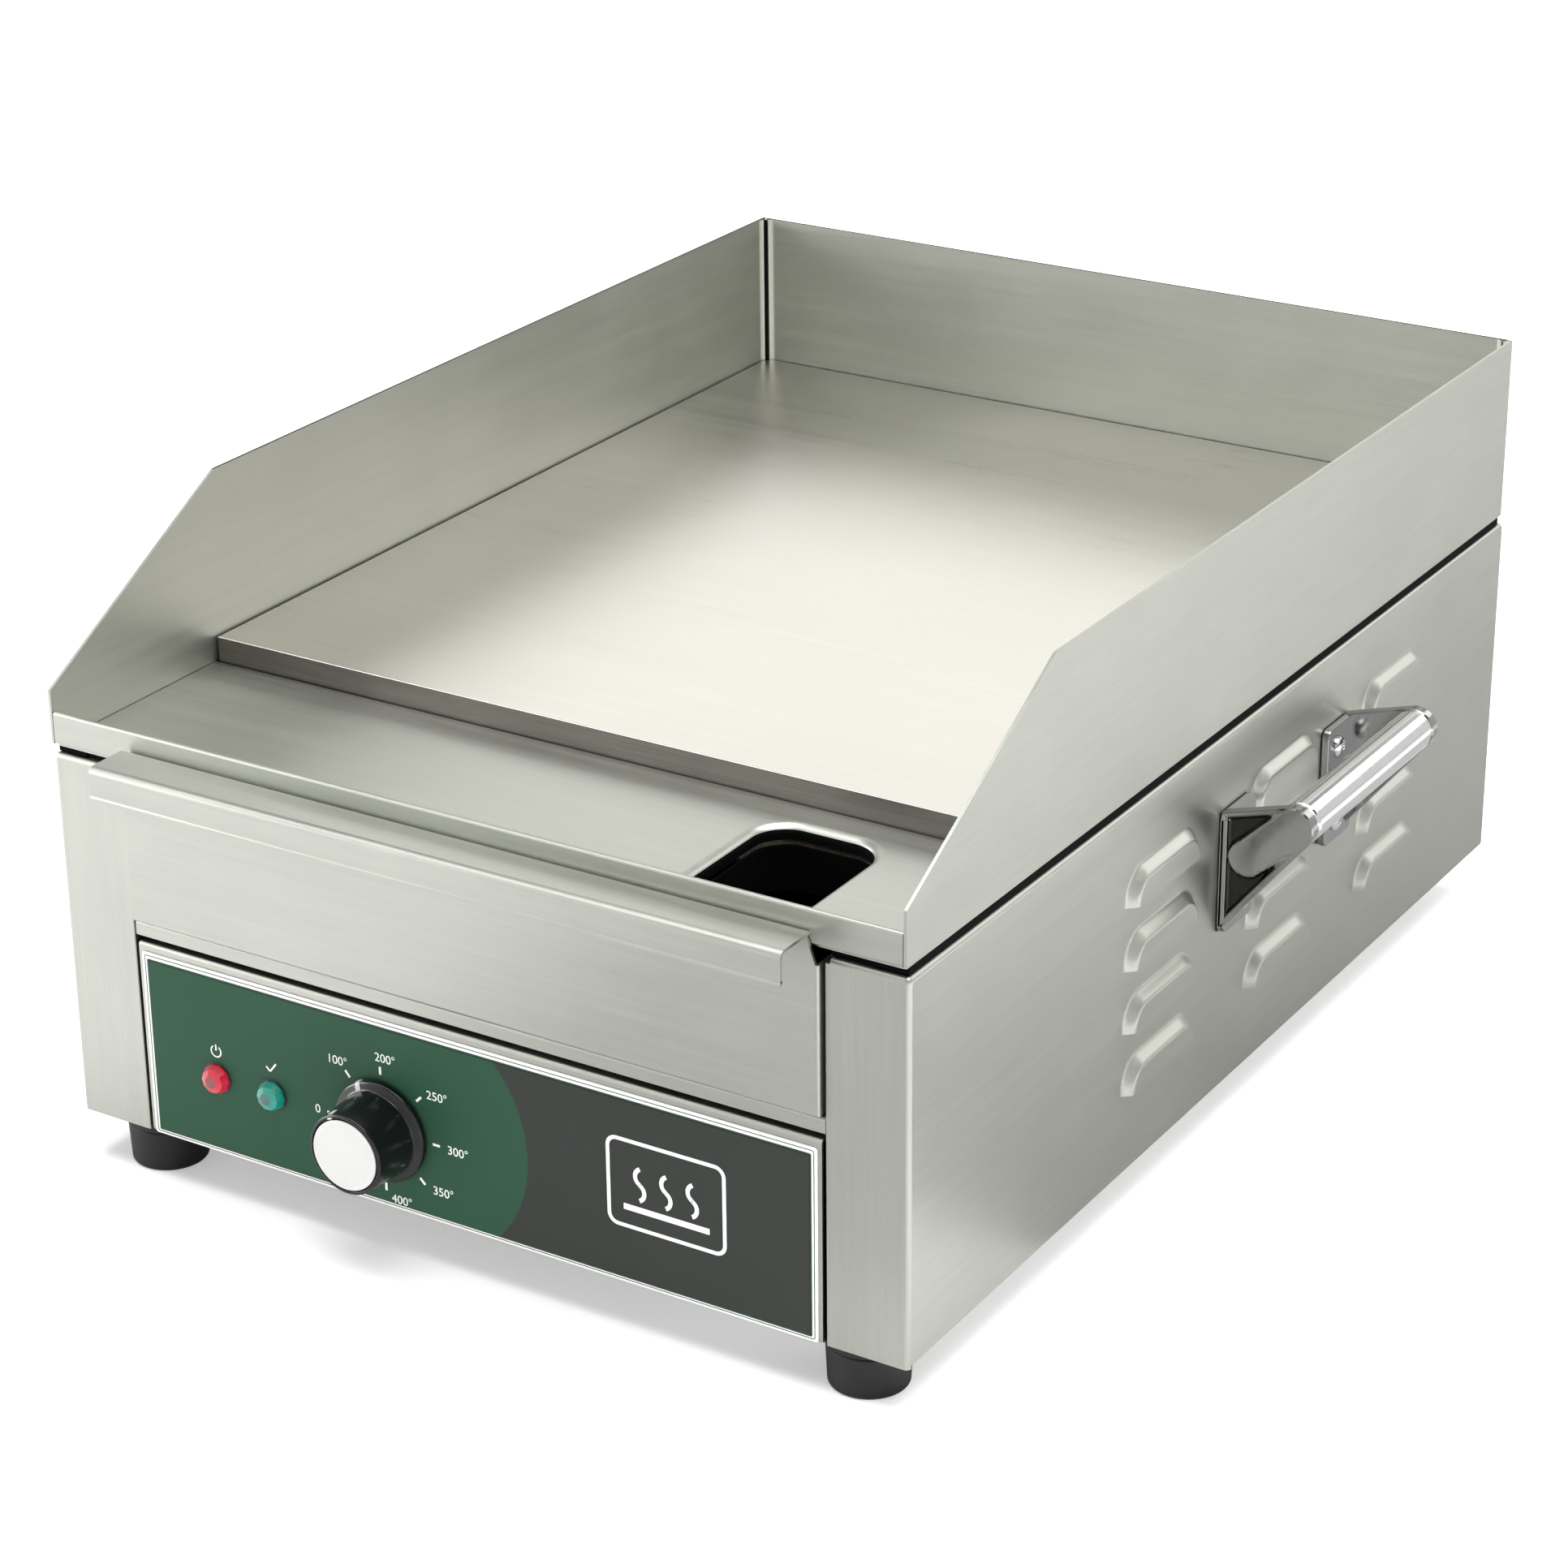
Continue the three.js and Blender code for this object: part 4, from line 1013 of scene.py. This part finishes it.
def add_panel():
    front = CONTROL_LOW.y
    low, high = CONTROL_LOW, CONTROL_HIGH
    path = rounded_path([(high.y, low.z), (front, low.z), (front, high.z), (high.y, high.z)], 1.5)
    panel = folded_sheet("control_panel_sheet", path, -SHEET, "x", low.x, high.x, bevel=0.2)
    fit(panel, "griddle", "brushed_steel", STEEL_X, "control_panel")

    left, right = LABEL_LOW.x, LABEL_HIGH.x
    bottom, top = LABEL_LOW.z, LABEL_HIGH.z
    face = LABEL_LOW.y
    border = rounded_rectangle((left - 2.4, bottom - 1.8), (right + 2.4, top + 2.8), 1.2)
    backing = prism("label_backing", border, "y", face + 0.35, front - 0.05, bevel=0.1)
    fit(backing, "griddle", "label_film", FILM_EDGE, "panel_label")
    printed_frame("label_margin_line", (left - 1.2, bottom - 0.9), (right + 1.2, top + 1.5), 0.9, 0.28,
                  face + 0.35, FILM_LINE)
    line = 0.7
    rim = rounded_rectangle((left, bottom), (right, top), 0.6)
    edge = prism("label_edge_line", rim, "y", face + 0.2, face + 0.35)
    fit(edge, "griddle", "label_film", FILM_LINE)

    steps = 24
    low_z, high_z = bottom + line, top - line
    curve = [(label_arc(low_z + (high_z - low_z) * step / steps), low_z + (high_z - low_z) * step / steps)
             for step in range(steps + 1)]
    green = [(left + line, high_z), (left + line, low_z)] + curve
    grey = [(right - line, low_z), (right - line, high_z)] + curve[::-1]
    fit(prism("label_green_field", green, "y", face, face + 0.2), "griddle", "label_film", FILM_GREEN)
    fit(prism("label_grey_field", grey, "y", face, face + 0.2), "griddle", "label_film", FILM_GREY)
    add_dial(face)
    add_marks(face)


def on_dial(angle, radius, face):
    turn = math.radians(angle)
    return (KNOB_CENTRE[0] + radius * math.cos(turn), face, KNOB_CENTRE[1] + radius * math.sin(turn))


def printed_bar(name, centre, angle, length, width, body="griddle"):
    """A short printed stroke on the front face, lying along an angle."""
    turn = math.radians(angle)
    along = Vector((math.cos(turn), math.sin(turn))) * length / 2
    across = Vector((-math.sin(turn), math.cos(turn))) * width / 2
    spot = Vector((centre[0], centre[2]))
    corners = [spot - along - across, spot + along - across, spot + along + across, spot - along + across]
    bar = prism(name, corners, "y", centre[1] - PRINT, centre[1])
    return fit(bar, body, "label_film", PRINT_WHITE)


def printed_frame(name, low, high, radius, width, face, material):
    """A thin printed line round a rounded rectangle."""
    outer = rounded_rectangle(low, high, radius)
    inner = offset_path(outer, width, closed=True)
    loops = []
    for depth, outline in ((0.0, outer), (-PRINT, outer), (-PRINT, inner), (0.0, inner)):
        loops.append([(x, face + depth, z) for x, z in outline])
    return fit(stacked_loops(name, loops, closed_loop=True), "griddle", "label_film", material)


def add_dial(face):
    """Tick marks round the knob with plain numbers, each moved off its mark in X and Z."""
    marks = {180: ("0", (-6.0, 0)), 129: ("100°", (-4.5, 4.2)), 90: ("200°", (2.5, 5.2)),
             45: ("250°", (8.2, 2.8)), 0: ("300°", (9.6, -0.6)), -45: ("350°", (9.2, -2.4)),
             -90: ("400°", (7.0, -4.2))}
    for angle, (text, shift) in marks.items():
        tag = text.replace("°", "")
        printed_bar(f"dial_tick_{tag}", on_dial(angle, DIAL_RADIUS, face), angle, 3.2, 1.0)
        spot = on_dial(angle, DIAL_RADIUS, face - 0.05)
        place = (spot[0] + shift[0], spot[1], spot[2] + shift[1])
        number = lettering(f"dial_number_{tag}", text, NUMBER_SIZE, place)
        fit(number, "griddle", "label_film", PRINT_WHITE)


def ring_mark(name, centre, radius, width, start=0, stop=360):
    """A printed ring, or part of one."""
    steps = 40
    whole = stop - start == 360
    count = steps if whole else steps + 1
    loop = []
    for step in range(count):
        turn = math.radians(start + (stop - start) * step / steps)
        loop.append((math.cos(turn), math.sin(turn)))
    vertices, faces = [], []
    for depth in (0.0, -PRINT):
        for reach in (radius - width / 2, radius + width / 2):
            vertices += [(centre[0] + c * reach, centre[1] + depth, centre[2] + s * reach) for c, s in loop]
    last = count if whole else count - 1
    for index in range(last):
        after = (index + 1) % count
        for first, second in ((0, 1), (1, 3), (3, 2), (2, 0)):
            faces.append((first * count + index, first * count + after, second * count + after,
                          second * count + index))
    if not whole:
        faces += [(0, count, 3 * count, 2 * count), (count - 1, 2 * count - 1, 4 * count - 1, 3 * count - 1)]
    return fit(make_piece(name, vertices, faces), "griddle", "label_film", PRINT_WHITE)


def add_marks(face):
    """Plain symbols: a power sign and a tick over the lamps, and heat waves over a bar on the grey field."""
    power_low, power_high = limits("power_lamp_lens")
    ready_low, ready_high = limits("ready_lamp_lens")
    lift = 5.2
    power = (middle(power_low.x, power_high.x), face, power_high.z + lift)
    ring_mark("power_sign_ring", power, 2.3, 0.55, 125, 415)
    printed_bar("power_sign_stroke", (power[0], face, power[2] + 1.6), 90, 2.6, 0.6)
    ready = (middle(ready_low.x, ready_high.x), face, ready_high.z + lift)
    printed_bar("ready_tick_short", (ready[0] - 1.5, face, ready[2] - 0.6), -45, 2.4, 0.7)
    printed_bar("ready_tick_long", (ready[0] + 0.9, face, ready[2] + 0.4), 52, 4.6, 0.7)

    badge_x, badge_z = 86.0, 62.0
    half_x, half_z = 25.0, 18.0
    low, high = (badge_x - half_x, badge_z - half_z), (badge_x + half_x, badge_z + half_z)
    printed_frame("heat_badge_frame", low, high, 4.5, 1.5, face, PRINT_WHITE)
    printed_bar("heat_badge_bar", (badge_x, face, badge_z - 9.5), 0, 36, 2.4)
    radius, stroke, pitch = 3.5, 1.7, 11.0
    for wave in (-1, 0, 1):
        centre_x = badge_x + wave * pitch
        for part, way in enumerate((1, -1)):
            start = (-65, 65) if way > 0 else (115, 245)
            spot = (centre_x - way * radius * 0.47, face, badge_z - 2.5 + part * radius * 1.82)
            ring_mark(f"heat_wave_{wave + 1}_{part}", spot, radius, stroke, *start)


# ---- Knob and lamps --------------------------------------------------------------------------------------
def add_knob():
    """A skirted grip with softened rims, a white disc let into its face, and marks on skirt and grip."""
    centre = (KNOB_CENTRE[0], KNOB_HIGH.y, KNOB_CENTRE[1])
    reach = KNOB_HIGH.y - KNOB_LOW.y
    skirt = (KNOB_HIGH.x - KNOB_LOW.x) / 2
    cap = (CAP_HIGH.x - CAP_LOW.x) / 2 - 0.5
    outline = rounded_path([
        (3.4, 0), (skirt - 0.3, 0, 0.3), (skirt, 2.4, 1.2), (16.9, 3.6, 1.2), (15.9, reach - 0.2, 0.7),
        (cap + 0.7, reach - 0.1, 0.3), (cap + 0.35, reach - 1.2, 0), (0, reach - 1.2),
    ], 0, steps=5)
    profile = [(0, 15)] + [(3.4, 15)] + [(p.x, p.y) for p in outline]
    body = turned("knob_moulding", profile, centre, "front", sides=96)
    fit(body, "knob", "black_plastic", BLACK_PLASTIC, "knob_body")

    thickness = CAP_HIGH.y - CAP_LOW.y
    disc_outline = rounded_path([
        (0, 0), (cap, 0, 0), (cap, thickness - 0.15, 0.35), (cap - 1.1, thickness, 0.3),
        (cap - 1.5, thickness - 0.22, 0.3), (0, thickness - 0.15),
    ], 0, steps=4)
    disc_profile = [(p.x, p.y) for p in disc_outline]
    disc = turned("knob_disc", disc_profile, (centre[0], CAP_HIGH.y, centre[2]), "front", sides=96)
    fit(disc, "knob", "white_plastic", WHITE_PLASTIC, "knob_cap")

    turn = math.radians(KNOB_POINTER)
    width = 1.1
    out = Vector((math.cos(turn), math.sin(turn)))
    across = Vector((-out.y, out.x)) * width
    skirt_path = [(17.3, 3.72), (19.4, 3.2), (skirt - 0.35, 2.72), (skirt + 0.06, 2.1), (skirt + 0.06, 0.5)]
    grip_path = [(cap + 0.9, reach - 0.02), (15.5, reach - 0.5), (16.02, reach - 1.2), (16.15, reach - 4.6)]
    for name, path in (("knob_skirt_mark", skirt_path), ("knob_grip_mark", grip_path)):
        vertices, faces = [], []
        for radius, height in path:
            for side in (-1, 1):
                spot = Vector((centre[0], centre[2])) + out * radius + across * side
                vertices.append((spot.x, centre[1] - height, spot.y))
            for side in (-1, 1):
                spot = Vector((centre[0], centre[2])) + out * (radius - 0.5) + across * side
                vertices.append((spot.x, centre[1] - height + 0.3, spot.y))
        for index in range(len(path) - 1):
            a, b = 4 * index, 4 * index + 4
            faces += [(a, a + 1, b + 1, b), (a + 2, b + 2, b + 3, a + 3), (a, b, b + 2, a + 2),
                      (a + 1, a + 3, b + 3, b + 1)]
        end = 4 * (len(path) - 1)
        faces += [(0, 2, 3, 1), (end, end + 1, end + 3, end + 2)]
        mark = make_piece(name, vertices, faces)
        stands_for = ["knob_pointer"] if name == "knob_skirt_mark" else []
        fit(mark, "knob", "white_plastic", WHITE_PLASTIC, *stands_for)


def add_lamps():
    """Faceted lenses, each ringed by a thin black disc that is painted shade round the lens, and each darker
    in its middle, which is painted shade too.
    """
    finishes = (("power", RED_LENS, RED_LENS_SHADE, "red_lens"), ("ready", GREEN_LENS, GREEN_LENS_SHADE, "green_lens"))
    for name, material, deep, slot in finishes:
        node = name + "_lamp_lens"
        low, high = limits(node)
        centre = (middle(low.x, high.x), LABEL_LOW.y, middle(low.z, high.z))
        radius = (high.x - low.x) / 2
        proud = LABEL_LOW.y - low.y
        # A thin black disc just larger than the lens: painted shade round its rim.
        shade_ring_profile = [(0, 0.02), (radius + 0.5, 0.02), (radius + 0.5, 0.3), (radius - 0.2, 0.45), (0, 0.45)]
        shade_ring = turned(name + "_lamp_shade_ring", shade_ring_profile, centre, "front", sides=48)
        fit(shade_ring, "griddle", "black_plastic", BLACK_PLASTIC)
        facets = 10
        profile = [(0, -6), (4.2, -6), (4.2, 0.5), (radius, 0.5), (radius, 1.3), (radius * 0.80, proud - 1.1),
                   (radius * 0.42, proud - 0.15), (0, proud)]
        lens = turned(name + "_lamp_jewel", profile, centre, "front", sides=facets, flat=True)
        # The middle facets take the darker copy: painted shade in the lens centre.
        shaded_core = radius * 0.40
        accent(lens, material, deep,
               lambda spot, normal: math.hypot(spot.x - centre[0], spot.z - centre[2]) < shaded_core)
        fit(lens, "griddle", slot, material, node)


# ---- Side handles ----------------------------------------------------------------------------------------
HANDLE = {"radius": 8.3, "foot_top": 141.0, "web": 5.0, "foot": 3.0}
HANDLE["x"] = middle(BAR_LOW.x, BAR_HIGH.x)
HANDLE["z"] = middle(BAR_LOW.z, BAR_HIGH.z)


def web_outline(shrink=0.0, count=120):
    """The bracket's web: a triangle from its foot to a round nose about the bar, its points evenly spaced."""
    root = BRACKET_LOW.x + shrink
    nose = HANDLE["radius"] - shrink
    corners = [Vector((root, BRACKET_LOW.z + 2.2 * shrink))]
    arc_steps = 24
    for step in range(arc_steps + 1):
        angle = math.radians(-38 + (104 + 38) * step / arc_steps)
        corners.append(Vector((HANDLE["x"] + nose * math.cos(angle), HANDLE["z"] + nose * math.sin(angle))))
    corners.append(Vector((root, HANDLE["foot_top"] - 0.75 * shrink)))
    lengths = [(corners[(i + 1) % len(corners)] - corners[i]).length for i in range(len(corners))]
    total = sum(lengths)
    points = []
    for sample in range(count):
        along = total * sample / count
        index = 0
        while along > lengths[index]:
            along -= lengths[index]
            index += 1
        points.append(corners[index].lerp(corners[(index + 1) % len(corners)], along / lengths[index]))
    return points


def distance_to_outline(point, outline):
    best = 1e9
    for index, start in enumerate(outline):
        run = outline[(index + 1) % len(outline)] - start
        share = min(max((point - start).dot(run) / run.length_squared, 0), 1)
        best = min(best, (start + run * share - point).length)
    return best


def web_dish(point, outline):
    """How deep the web's outer face is dished at a point: a raised rim, a hollow, and a raised capsule."""
    nose = Vector((HANDLE["x"], HANDLE["z"]))
    tail = nose + Vector((-19.0, -17.0))
    run = tail - nose
    share = min(max((point - nose).dot(run) / run.length_squared, 0), 1)
    capsule = (nose + run * share - point).length - HANDLE["radius"] * (1 - 0.08 * share)
    island = ease(-capsule / 1.6 + 0.4)
    rim = ease((distance_to_outline(point, outline) - 1.4) / 2.4)
    return 1.9 * rim * (1 - island)


def bracket(name, outward, low, high):
    """A cast bracket. Its dished face looks along outward: -1 for the front one, 1 for the rear."""
    outline = web_outline()
    rim = web_outline(0.6)
    centre = Vector((BRACKET_LOW.x + 11, 127.0))
    face = low.y if outward < 0 else high.y
    back = face - outward * HANDLE["web"]
    loops = [[(p.x, back, p.y) for p in rim], [(p.x, back + outward * 0.6, p.y) for p in outline],
             [(p.x, face - outward * 0.6, p.y) for p in outline]]
    rings = 26
    for ring in range(rings):
        share = 1 - ring / rings
        loop = []
        for point in rim:
            spot = centre.lerp(point, share)
            depth = web_dish(spot, outline)
            loop.append((spot.x, face - outward * depth, spot.y))
        loops.append(loop)
    web = stacked_loops(name + "_web", loops, cap_first=True, cap_last=True)
    foot_outline = rounded_rectangle((low.y, BRACKET_LOW.z), (high.y, HANDLE["foot_top"]), 3.0)
    foot = prism(name + "_foot", foot_outline, "x", low.x, low.x + HANDLE["foot"], bevel=0.5)
    casting = joined(name, web, foot)
    # Faces sunk more than 1 mm into the hollow take the near-black chrome: painted shade in the hollow.
    recess = face - outward * 1.0
    return accent(casting, CAST_CHROME, CAST_HOLLOW_SHADE,
                  lambda spot, normal: spot.x > low.x + HANDLE["foot"] and (recess - spot.y) * outward > 0
                  and normal.y * outward > 0.2)


def add_handles():
    front = bracket("right_front_bracket_casting", -1, BRACKET_LOW, BRACKET_HIGH)
    rear = bracket("right_rear_bracket_casting", 1, REAR_BRACKET_LOW, REAR_BRACKET_HIGH)
    length = BAR_HIGH.y - BAR_LOW.y
    radius = HANDLE["radius"]
    groove = 0.5
    profile = [(0, 0), (radius - groove, 0), (radius - groove, 1.2), (radius - 0.1, 1.7), (radius, 2.2),
               (radius, length - 2.2), (radius - 0.1, length - 1.7), (radius - groove, length - 1.2),
               (radius - groove, length), (0, length)]
    bar = turned("right_bar_tube", profile, (HANDLE["x"], BAR_LOW.y, HANDLE["z"]), "back", sides=72)
    parts = ((front, CAST_CHROME, "handle_front_bracket"), (rear, CAST_CHROME, "handle_rear_bracket"),
             (bar, CHROME, "handle_bar"))
    for piece, material, node in parts:
        twin = mirrored(piece, piece.name.replace("right", "left"))
        fit(twin, "griddle", "chrome", material, "left_" + node)
        fit(piece, "griddle", "chrome", material, "right_" + node)
    inset = 9  # from the edges of a bracket's foot to its screws
    for row, y in (("front", BRACKET_HIGH.y - inset), ("rear", REAR_BRACKET_LOW.y + inset)):
        for level, z in (("low", BRACKET_LOW.z + inset), ("high", HANDLE["foot_top"] - inset)):
            x = BRACKET_LOW.x + HANDLE["foot"]
            pan_screw(f"right_{row}_{level}_handle_screw", (x, y, z), "right", 4.2, CHROME, "chrome")
            pan_screw(f"left_{row}_{level}_handle_screw", (-x, y, z), "left", 4.2, CHROME, "chrome")


# ---- CAD nodes that keep their own shape -----------------------------------------------------------------
def dress_frame():
    """Gives the inner parts and the small ones their finishes."""
    finishes = {
        ZINC: ["base_plate", "front_clamp_bar", "rear_clamp_bar", "front_clamp_stud", "rear_clamp_stud",
               "heat_shield", "thermostat", "knob_spindle", "left_drawer_runner", "right_drawer_runner"]
        + [f"{row}_{side}_foot_screw" for row in ("front", "rear") for side in ("left", "right")],
        SHEATH: ["left_heating_element", "right_heating_element"],
        FIBRE: ["insulation_board"],
        COPPER: ["thermostat_bulb"],
        CERAMIC: ["limit_switch", "terminal_block"],
        SLEEVE: ["element_lead", "thermostat_lead"],
        BLACK_PLASTIC: ["supply_lead", "power_lamp_holder", "ready_lamp_holder"],
    }
    for material, nodes in finishes.items():
        for node in nodes:
            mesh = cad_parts[node].data
            mesh.materials.clear()
            mesh.materials.append(material)


# ---- Studio ----------------------------------------------------------------------------------------------
def add_camera():
    camera = bpy.data.cameras.new("camera")
    camera.sensor_width = 36
    camera.lens = 93.24
    holder = bpy.data.objects.new("camera", camera)
    bpy.context.scene.collection.objects.link(holder)
    holder.location = (0.7788, -1.2736, 0.7697)
    holder.rotation_euler = [math.radians(angle) for angle in (66.036, 0.500, 31.770)]
    bpy.context.scene.camera = holder


def softbox(name, place, target, size, power, colour=(1, 1, 1), lights_floor=True, in_metal=True):
    """An area light aimed at a target. It may be kept off plain surfaces, or out of what metals mirror."""
    light = bpy.data.lights.new(name, "AREA")
    light.shape = "RECTANGLE"
    light.size, light.size_y = size
    light.energy = power
    light.color = colour
    holder = bpy.data.objects.new(name, light)
    bpy.context.scene.collection.objects.link(holder)
    holder.location = place
    holder.rotation_euler = (Vector(target) - Vector(place)).to_track_quat("-Z", "Y").to_euler()
    holder.visible_diffuse = lights_floor
    holder.visible_glossy = in_metal
    return holder


def light_world():
    """A pale room near the horizon, and a dim ceiling above it."""
    world = bpy.data.worlds.new("studio")
    bpy.context.scene.world = world
    world.use_nodes = True
    nodes, links = world.node_tree.nodes, world.node_tree.links
    place = nodes.new("ShaderNodeTexCoord")
    split = nodes.new("ShaderNodeSeparateXYZ")
    ramp = nodes.new("ShaderNodeValToRGB")
    ramp.color_ramp.elements[0].position = 0.50
    ramp.color_ramp.elements[0].color = (0.85, 0.85, 0.84, 1)
    ramp.color_ramp.elements[1].position = 0.60
    ramp.color_ramp.elements[1].color = (0.14, 0.14, 0.14, 1)
    links.new(place.outputs["Generated"], split.inputs["Vector"])
    links.new(split.outputs["Z"], ramp.inputs["Fac"])
    links.new(ramp.outputs["Color"], nodes["Background"].inputs["Color"])


def reflection_card(name, low, high, height, grey):
    """A sheet lying on the floor that only reflections see, so that steel mirrors a calmer floor."""
    mesh = bpy.data.meshes.new(name)
    mesh.from_pydata([(low[0], low[1], height), (high[0], low[1], height), (high[0], high[1], height),
                      (low[0], high[1], height)], [], [(0, 1, 2, 3)])
    mesh.materials.append(principled(name, (grey, grey, grey), 0.9))
    card = bpy.data.objects.new(name, mesh)
    bpy.context.scene.collection.objects.link(card)
    card.visible_camera = False
    card.visible_diffuse = False
    card.visible_shadow = False


def add_studio():
    """A pale floor with grey cards for the steel to mirror, and soft lights above and behind."""
    floor_mesh = bpy.data.meshes.new("studio_floor")
    reach = 30.0
    corners = [(-reach, -reach, 0), (reach, -reach, 0), (reach, reach, 0), (-reach, reach, 0)]
    floor_mesh.from_pydata(corners, [], [(0, 1, 2, 3)])
    floor = bpy.data.objects.new("studio_floor", floor_mesh)
    bpy.context.scene.collection.objects.link(floor)
    paper = principled("floor_paper", (0.93, 0.93, 0.93), 0.9, Emission_Color=(1, 1, 1, 1),
                       Emission_Strength=0.35)
    floor_mesh.materials.append(paper)

    reflection_card("mirror_floor", (-4, -4), (4, 4), 0.0010, 0.70)
    reflection_card("front_card", (-1.4, -1.9), (-0.12, -0.26), 0.0020, 0.88)
    reflection_card("shade_card", (-0.12, -1.9), (0.22, -0.32), 0.0020, 0.45)
    reflection_card("side_card", (0.19, -0.12), (0.42, 0.90), 0.0020, 0.33)
    reflection_card("right_front_card", (0.24, -1.6), (1.6, -0.14), 0.0020, 0.84)
    light_world()
    softbox("top_light", (0.4, -0.1, 3.0), (0, 0, 0), (2.6, 2.6), 165)
    softbox("front_top_light", (-1.25, -1.05, 2.0), (0, -0.2, 0.17), (1.0, 0.9), 8, lights_floor=False)
    softbox("rear_left_light", (-1.30, 1.95, 1.30), (0, 0, 0.18), (2.4, 1.0), 6.8, (1.0, 0.985, 0.95), False)
    softbox("rear_right_light", (1.25, 2.1, 1.55), (0, 0, 0.15), (1.8, 1.0), 10, (1.0, 0.99, 0.96))
    softbox("right_floor_light", (1.0, 0.15, 0.12), (0.15, 0.1, 0.0), (0.9, 0.16), 9, in_metal=False)
    softbox("left_light", (-1.5, -0.75, 0.45), (0, -0.1, 0.1), (1.3, 0.9), 24, lights_floor=False)
    bpy.context.scene.view_settings.view_transform = "Standard"


# ---- Build -----------------------------------------------------------------------------------------------
add_camera()
add_studio()
dress_frame()
add_feet()
add_body()
add_top()
add_drawer()
add_panel()
add_knob()
add_lamps()
add_handles()
